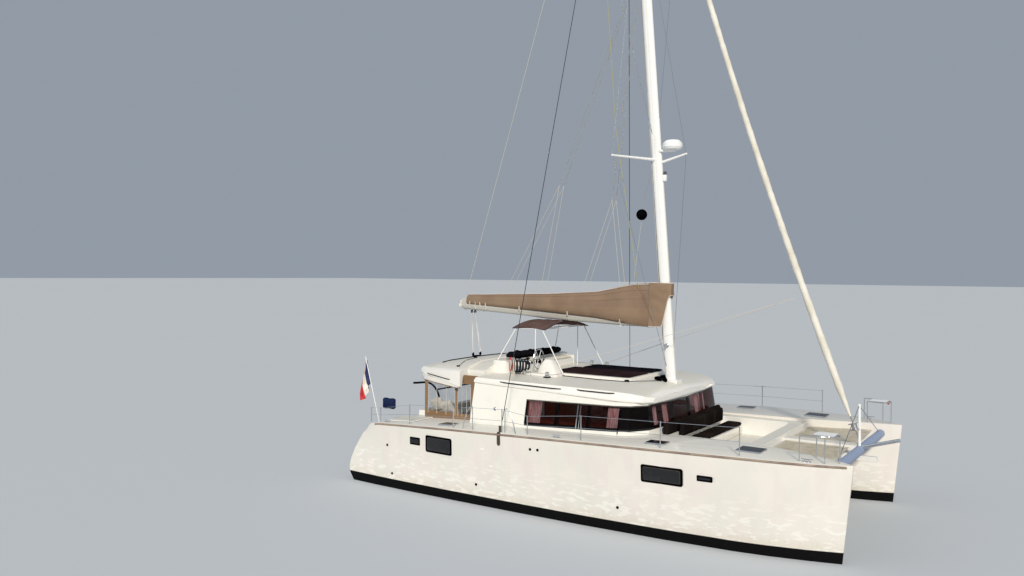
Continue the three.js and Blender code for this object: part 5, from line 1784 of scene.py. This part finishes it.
    def _mast_fittings(self) -> None:
        """Sail track, lights, winches and blocks on the mast."""
        form = Form()
        track = [(self.mast_x(z) - 0.152, 0, z) for z in (4.3, 9.0, 14.0, 18.0)]
        form.use(0).tube(track, 0.018, 6)
        z = 8.75
        x = self.mast_x(z) + 0.15
        form.use(1).block((x - 0.02, -0.05, z - 0.09), (x + 0.10, 0.05, z + 0.09), 0.02)
        form.use(2).lathe(self.lamp, (x + 0.05, 0, z + 0.09), steps=16)
        for side, high in self.mast_winches:
            form.use(3).lathe(self.drum, (self.mast_x(high) - 0.02, side * 0.085, high), (0, side, 0))
        for dy in self.foot_blocks:
            spot = self.boat.top("coachroof", 1.30, dy)
            form.use(4).block(spot + Vector((-0.07, -0.03, 0)), spot + Vector((0.07, 0.03, 0.09)), 0.015)
        for x, y, high in self.foot_gear:
            spot = self.boat.top("coachroof", x, y)
            form.ball(spot + Vector((0, 0, high * 0.5)), (0.055, 0.045, high * 0.55), 12)
        form.made("mast_fittings", (TRACK, PLASTIC, SMOKED, STEEL, RUBBER))

    def _stowed_main(self) -> None:
        """The sail bag on the boom: a sagging shell, its flap, its seams and the piping along its top."""
        form = Form()
        rings = []
        steps = self.bag_steps
        for i in range(steps + 1):
            x, low, top, half = self._bag_at(i / steps)
            lump = 0.012 * math.sin(i * 1.7) + 0.008 * math.sin(i * 0.63 + 1.0)
            port = [(x, (half + lump * up) * out, low + (top - low) * up) for out, up in self.bag_section]
            starboard = [(px, -py, pz) for px, py, pz in reversed(port[1:-1])]
            rings.append(port + starboard)
        flap = [1 if 5 <= (k if k < 9 else 16 - k) <= 8 else 0 for k in range(16)]
        form.loft(rings, flap)
        for side in (1, -1):
            form.use(2).tube([(r[7][0], side * (r[7][1] + 0.012), r[7][2] + 0.010) for r in rings], 0.011, 6)
        for side in (1, -1):
            for at, thick, reach in ((6, 0.006, steps), (5, 0.005, 20)):
                seam = [(r[at][0], side * (r[at][1] + 0.002), r[at][2]) for r in rings[:reach]]
                form.use(1).tube(seam, thick, 6)
        bag = form.made("sail_bag_cloth", (TAUPE, TAUPE_DARK, PIPING), "boom", 50.0)
        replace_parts(bag, "sail_bag")
        self._boom_sole()
        self._collar()
        self._straps()

    def _straps(self) -> None:
        """Webbing from the bag's sides under the boom, and the bunched cloth at its after end."""
        straps = Form()
        for x in self.strap_places:
            _, low, _, half = self._bag_at((1.06 - x) / 6.39)
            for sign in SIDES.values():
                hang = [(x, sign * (half + 0.004), low + 0.10), (x + 0.01, sign * (half - 0.005), low + 0.01),
                        (x + 0.02, sign * 0.105, low - 0.06), (x, sign * 0.098, low - 0.12),
                        (x - 0.03, sign * 0.1, low - 0.05), (x - 0.03, sign * (half - 0.01), low + 0.02)]
                straps.tube(hang, 0.010, 6, 0.5)
        for spot in self.bunches:
            straps.ball(spot, (0.05, 0.045, 0.075), 10)
        straps.made("bag_straps", PALE_CLOTH, "boom")

    def _boom_sole(self) -> None:
        """The boom's deeper lower half with the eyes under it."""
        form = Form()
        rings = []
        for x, low in self.boom_keel:
            top = 4.80 + 0.38 * (1.145 - x) / 6.705
            rings.append([(x, y * 0.078, top + (low - top) * share) for y, share in self.boom_section])
        form.use(0).loft(rings)
        for x in self.boom_eyes:
            low = 4.66 + 0.29 * (0.9 - x) / 6.4
            eye = [(x + dx, 0, low + dz) for dx, dz in ((-0.03, 0.03), (-0.02, -0.045), (0.02, -0.045),
                                                        (0.03, 0.03))]
            form.use(1).tube(eye, 0.007, 6)
        form.made("boom_sole", (BOOM_PAINTED_SHADE, STEEL), "boom")

    def _collar(self) -> None:
        """The bag's cloth where it laces round the mast."""
        form = Form()

        def wrap(u: float, v: float) -> Point:
            """From one side of the bag round the mast's front to the other side.

            Args:
                u: share of the way round.
                v: share of the height.

            Returns:
                The point.
            """
            turn = abs(2 * u - 1)
            side = math.copysign(1, u - 0.5)
            ahead = 1 - turn
            x = 0.98 + 0.64 * min(1.0, 1.35 * ahead ** 0.85)
            rise = min(1.0, max(0.0, (x - 1.33) / 0.27))
            low, top = 4.66 + 0.86 * rise * rise * (3 - 2 * rise), 5.87 - 0.02 * ahead
            z = low + (top - low) * v
            mast = self.mast_x(z)
            half = 0.115 + 0.06 * (1 - v) * turn
            y = side * half * min(1.0, 2.6 * turn) if x > mast else side * max(half, 0.118)
            return x, y + 0.006 * math.sin(z * 21.0 + u * 17.0), z

        form.use(0).sheet(48, 20, wrap)
        for v in (0.0, 1.0):
            form.use(1).tube([wrap(k / 48, v) for k in range(49)], 0.009, 6)
        collar = form.made("bag_collar", (TAUPE, PIPING), "", 60.0)
        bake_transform(collar)

    def _bag_at(self, share: float) -> tuple[float, float, float, float]:
        """The bag's place, underside, top and half width.

        Args:
            share: 0 at the mast, 1 at its after end.

        Returns:
            Its x, low, top and half.
        """
        x = self.bag[0][0] + (self.bag[-1][0] - self.bag[0][0]) * share
        for ahead, behind in zip(self.bag, self.bag[1:]):
            if x >= behind[0] - 1e-6:
                part = (ahead[0] - x) / (ahead[0] - behind[0])
                low, top, half = (a + (b - a) * part for a, b in zip(ahead[1:], behind[1:]))
                return x, low, top, half
        return self.bag[-1]

    def _line(self, name: str, path: Sequence[Point], radius: float, finish: Finish, body: str = PLATFORM,
              other: str = "") -> bpy.types.Object:
        """One taut line, fast to one body, or left unattached and baked in place where a second body is
        named.

        Args:
            name: the piece's name.
            path: its points.
            radius: its radius.
            finish: what it is made of.
            body: what it is fast to, where no second body is named.
            other: a second body; where one is named the line is cut into short steps, left unattached and
                baked in place, and the name itself is not read.

        Returns:
            The line.
        """
        form = Form()
        if other:
            ends = [Vector(p) for p in path]
            smooth = []
            for a, b in zip(ends, ends[1:]):
                smooth += [a.lerp(b, k / 8) for k in range(8)]
            path = [*smooth, ends[-1]]
        form.tube(path, radius, 6)
        piece = form.made(name, finish, "" if other else body)
        if other:
            tuple(path[0])
            tuple(path[-1])
            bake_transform(piece)
        return piece

    def _lazy_jacks(self) -> None:
        """Light lines from the mast to the bag's edges."""
        high = (self.mast_x(14.8) - 0.12, 14.8)
        for knot, feet in self.jacks:
            for name, sign in SIDES.items():
                for x, z in feet:
                    path = [(high[0], sign * 0.06, high[1]), (knot[0], sign * 0.13, knot[1]),
                            (x, sign * 0.16, z)]
                    self._line(f"lazy_jack_{name}_{abs(x):.0f}", path, 0.0055, CORDAGE, PLATFORM, "boom")
        top = (self.mast_x(22.3) - 0.1, 0, 22.3)
        self._line("topping_lift", [top, (-5.42, 0, 5.42)], 0.007, CORDAGE, PLATFORM, "boom")

    def _diamonds(self) -> None:
        """Diamond wires over the spreaders' ends."""
        form = Form()
        for low, high, tips in self.diamonds:
            for dx, y, z, root in tips:
                tip = (self.mast_x(root) + dx, y, z)
                form.use(0).tube([(self.mast_x(low) + dx * 0.08, y * 0.08, low), tip,
                                  (self.mast_x(high) + dx * 0.08, y * 0.08, high)], 0.006, 6)
                form.use(1).ball(tip, (0.035, 0.035, 0.03), 10)
        form.made("diamond_wires", (WIRE, SPAR))

    def _halyards(self) -> None:
        """Halyards beside the mast, and the anchor ball with its lines."""
        form = Form()
        for number, (dx, y) in enumerate(self.halyards):
            ends = [(self.mast_x(3.4) + dx, y, 3.4), (self.mast_x(21.5) + dx * 0.7, y, 21.5)]
            form.use(number % 2).tube(ends, 0.006, 6)
        form.made("halyards", (CORDAGE, LIME))
        self._line("runner_line", [(-0.45, -0.15, 14.6), (-0.088, -0.15, 10.2), (0.155, -0.15, 8.75),
                                   (0.374, -0.15, 7.45), (0.65, -0.13, 5.72)], 0.008, LIME, PLATFORM, "boom")
        ball = Form()
        x, y, z = self.ball_place
        ball.use(0).ball(self.ball_place, (0.165, 0.165, 0.165), 20)
        tip = (self.mast_x(9.26) - 0.718, 1.295, 9.27)
        ball.use(1).tube([tip, (x, y, z + 0.16)], 0.004, 6)
        ball.made("anchor_ball", (RUBBER, CORDAGE))
        self._line("ball_downhaul", [(x, y, z - 0.16), (0.35, 0.16, 5.79)], 0.004, CORDAGE, PLATFORM, "boom")

    def _mainsheet(self) -> None:
        """Sheet parts, blocks and the traveller's track."""
        form = Form()
        roof = "cockpit_hardtop"
        track = [self.boat.top(roof, -5.02, y) + Vector((0, 0, 0.02)) for y in self.track_places]
        form.use(0).tube(track, 0.022, 8, 0.7)
        car = track[len(track) // 2]
        form.block(car + Vector((-0.06, -0.14, -0.005)), car + Vector((0.06, 0.14, 0.035)), 0.012)
        form.made("traveller", (RUBBER, STEEL))
        low = Form()
        for x in (-5.14, -4.86):
            foot = self.boat.top(roof, x, 0.0)
            low.ball(Vector((x, 0, foot.z + 0.10)), (0.045, 0.03, 0.06), 12)
            low.tube([foot, foot + Vector((0, 0, 0.08))], 0.012, 6)
        low.made("lower_blocks", RUBBER)
        high = Form()
        for x in (-5.20, -5.07):
            high.ball((x, 0, self.boom_block_z), (0.045, 0.03, 0.055), 12)
        high.made("upper_blocks", RUBBER, "boom")
        for number, (x0, x1, dy) in enumerate(self.sheet_parts):
            ends = [(x0, dy, self.boat.top(roof, x0, 0.0).z + 0.13), (x1, dy * 0.8, self.boom_block_z)]
            self._line(f"mainsheet_{number}", ends, 0.008, PALE_CLOTH, PLATFORM, "boom")

    def _furled_sail(self) -> None:
        """The headsail rolled round its stay, with its drum and sheets."""
        form = Form()
        stay = self._stay
        steps = self.sail_steps
        foot, rise = self.sail_foot, self.sail_head - self.sail_foot
        path = [stay(foot + rise * i / steps) for i in range(steps + 1)]
        radii = []
        for i in range(steps + 1):
            share = i / steps
            coil = (share * 46.0) % 1.0
            tack = min(1.0, 0.34 + share * 16.0)
            lump = 1.0 + 0.05 * math.sin(i * 0.37) * math.sin(i * 0.11)
            radii.append((0.094 - 0.036 * share) * (0.90 + 0.12 * coil) * lump * tack)
        form.use(0).tube(path, radii, 14)
        form.use(1).tube([stay(2.1), stay(2.4), stay(2.75)], 0.011, 8)
        form.tube([stay(20.85), stay(21.88)], 0.009, 8)
        for z, radius, high in self.drum_discs:
            disc = ((0.0, 0.0), (radius, 0.0), (radius, high), (0.0, high))
            form.use(2).lathe(disc, stay(z), (-0.31, 0, 1), 24)
        sail = form.made("furled_headsail", (SAIL, WIRE, ALLOY), crease=50.0)
        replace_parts(sail, "furled_genoa")
        self._line("headsail_sheet_starboard", [(4.96, -0.06, 5.53), (-1.54, -1.2, 3.38)], 0.007, CORDAGE)
        self._line("headsail_sheet_port", [(4.80, 0.06, 5.50), (-1.2, 1.35, 3.34)], 0.007, CORDAGE)

    def _stay(self, z: float) -> Vector:
        """The stay's middle at a height, with its sag.

        Args:
            z: the height.

        Returns:
            The point.
        """
        ahead, low = self.stay_foot
        share = (z - low) / (self.stay_head - low)
        head = self.mast_x(self.stay_head) + 0.1
        return Vector((ahead + (head - ahead) * share - 4 * self.stay_sag * share * (1 - share), 0, z))


@dataclass
class Foredeck:
    """Beam, sprit, walkway, nets and the forward seat."""

    boat: Boat
    net_after: float = 4.80
    net_fore: float = 6.30
    net_height: float = 1.962
    cushion_low: float = 1.865
    back_bays: int = 4
    seat_bays: int = 3

    def build(self) -> None:
        """Makes it all."""
        boat = self.boat
        boat.skin("crossbeam", (BEAM, PLASTIC, WIRE), 0.0, 40.0, self._upper)
        boat.skin("bowsprit", STEEL, 0.0, 40.0)
        boat.skin("bow_walkway", DECKING, 0.006)
        for name, sign in SIDES.items():
            self._net(name, sign)
        self._seat()

    def _upper(self, face: bmesh.types.BMFace) -> int:
        """0 for the beam, 1 for its upright post, 2 for the stays beside the post."""
        middle = face.calc_center_median()
        return 0 if middle.z < 2.03 else 1 + int(abs(middle.y) > 0.08)

    def _net(self, name: str, sign: float) -> None:
        """A laced net that sags a little.

        Args:
            name: the side's name.
            sign: 1 for port, -1 for starboard.
        """
        mesh = self.boat.frame["nodes"][f"trampoline_{name}"].data
        edge = max(abs(v.co.y) for v in mesh.vertices)

        def sag(u: float, v: float) -> Point:
            """A rectangle with its outer edge drawn to the hull.

            Args:
                u: share of the way forward.
                v: share of the way outboard.

            Returns:
                The point.
            """
            x = self.net_after + (self.net_fore - self.net_after) * u
            outer = edge if u < 0.3 else edge + (2.45 - edge) * (u - 0.3) / 0.7 * 0.6
            y = 0.25 + (min(edge - 0.03, outer) - 0.25) * v
            drop = 0.03 * math.sin(u * math.pi) * math.sin(v * math.pi)
            return x, sign * y, self.net_height - drop

        form = Form()
        form.use(0).sheet(24, 24, sag)
        shares = [i / 24 for i in range(25)]
        for end in (0.0, 1.0):
            form.use(1).tube([sag(share, end) for share in shares], 0.010, 6)
        for end in (0.0, 1.0):
            form.tube([sag(end, share) for share in shares], 0.010, 6)
        net = form.made(f"net_{name}", (NET, CORDAGE))
        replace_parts(net, f"trampoline_{name}")

    def _seat(self) -> None:
        """Dark cushions of the forward seat, and its padded back before the windows."""
        for number in range(self.back_bays):
            y0 = -1.94 + 0.97 * number
            near = min(abs(y0), abs(y0 + 0.96))
            front = 2.235 - 0.04 * min(near, 1.3) - 0.124 * max(0.0, near - 1.3)
            Cushion(f"lounge_back_{number}", (front + 0.012, y0, 1.975), (front + 0.14, y0 + 0.955, 2.37),
                    DARK_PAD, swell=0.02).build()
        low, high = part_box("forward_seat")
        base = Form().block((low.x, low.y, low.z), (high.x, high.y, 1.86), 0.03)
        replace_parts(base.made("seat_base", GELCOAT), "forward_seat")
        wide, bays = high.y - low.y, self.seat_bays
        for number in range(bays):
            y0, y1 = (low.y + wide * edge / bays for edge in (number, number + 1))
            Cushion(f"seat_cushion_{number}", (low.x + 0.17, y0 + 0.01, self.cushion_low),
                    (high.x - 0.01, y1 - 0.01, 1.955), DARK_PAD).build()
        for number in range(self.back_bays):
            y0, y1 = -1.48 + 0.74 * number, -0.75 + 0.74 * number
            Cushion(f"back_cushion_{number}", (low.x + 0.02, y0, 1.97), (low.x + 0.15, y1, high.z - 0.01),
                    DARK_PAD).build()


@dataclass
class Rails:
    """Guard rails, pulpits with their seats, and the gates' posts."""

    boat: Boat
    # x of a gate's post, and of its brace's foot from there
    gates: tuple = ((-1.32, 0.33), (-2.37, -0.33))

    def build(self) -> None:
        """Makes them on both sides."""
        for name, sign in SIDES.items():
            self.boat.skin(f"lifelines_{name}", STEEL, 0.0, 60.0)
            self.boat.skin(f"pulpit_{name}", (STEEL, PLASTIC), 0.0, 60.0,
                           lambda face: int(face.normal.z > 0.9 and face.calc_area() > 0.01))
        posts = Form()
        sunk = Vector((0, 0, 0.004))
        for sign in SIDES.values():
            for x, brace in self.gates:
                feet = []
                for at in (x, x + brace):
                    edge = self.boat.side(at, 1.55, sign)
                    feet.append(self.boat.top(self.boat.hull(sign), at, edge.y - sign * 0.10))
                top = feet[0] + Vector((0, 0, 0.61))
                bend = feet[1] + Vector((-0.4 * brace, 0, 0.46))
                arch = top + Vector((0.15 * brace, 0, 0.015))
                posts.tube([feet[0] - sunk, top, arch, bend, feet[1] - sunk], 0.0125, 8)
        posts.made("gate_posts", STEEL)
        Form().ball((6.62, 3.02, 2.66), (0.035, 0.03, 0.045), 12).made("port_lamp", AMBER)


@dataclass
class Saloon:
    """The padded seat that shows through the windows."""

    boat: Boat
    height: float = 0.38

    def build(self) -> None:
        """Puts the seat in the sofa's place."""
        low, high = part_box("saloon_sofa")
        Cushion("saloon_seat", (low.x, low.y, low.z + 0.01), (high.x, high.y, low.z + self.height), PALE_PAD,
                replaces=("saloon_sofa",)).build()


def main() -> None:
    """Builds the scene."""
    logging.basicConfig(level=logging.INFO, format="%(name)s: %(message)s")
    boat = Boat()
    boat.load()
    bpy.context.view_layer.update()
    Studio().build()
    for kind in (Hulls, House, Cockpit, Flybridge, Rig, Foredeck, Rails, Saloon):
        LOG.info("building %s", kind.__name__)
        kind(boat).build()


if __name__ == "__main__":
    main()
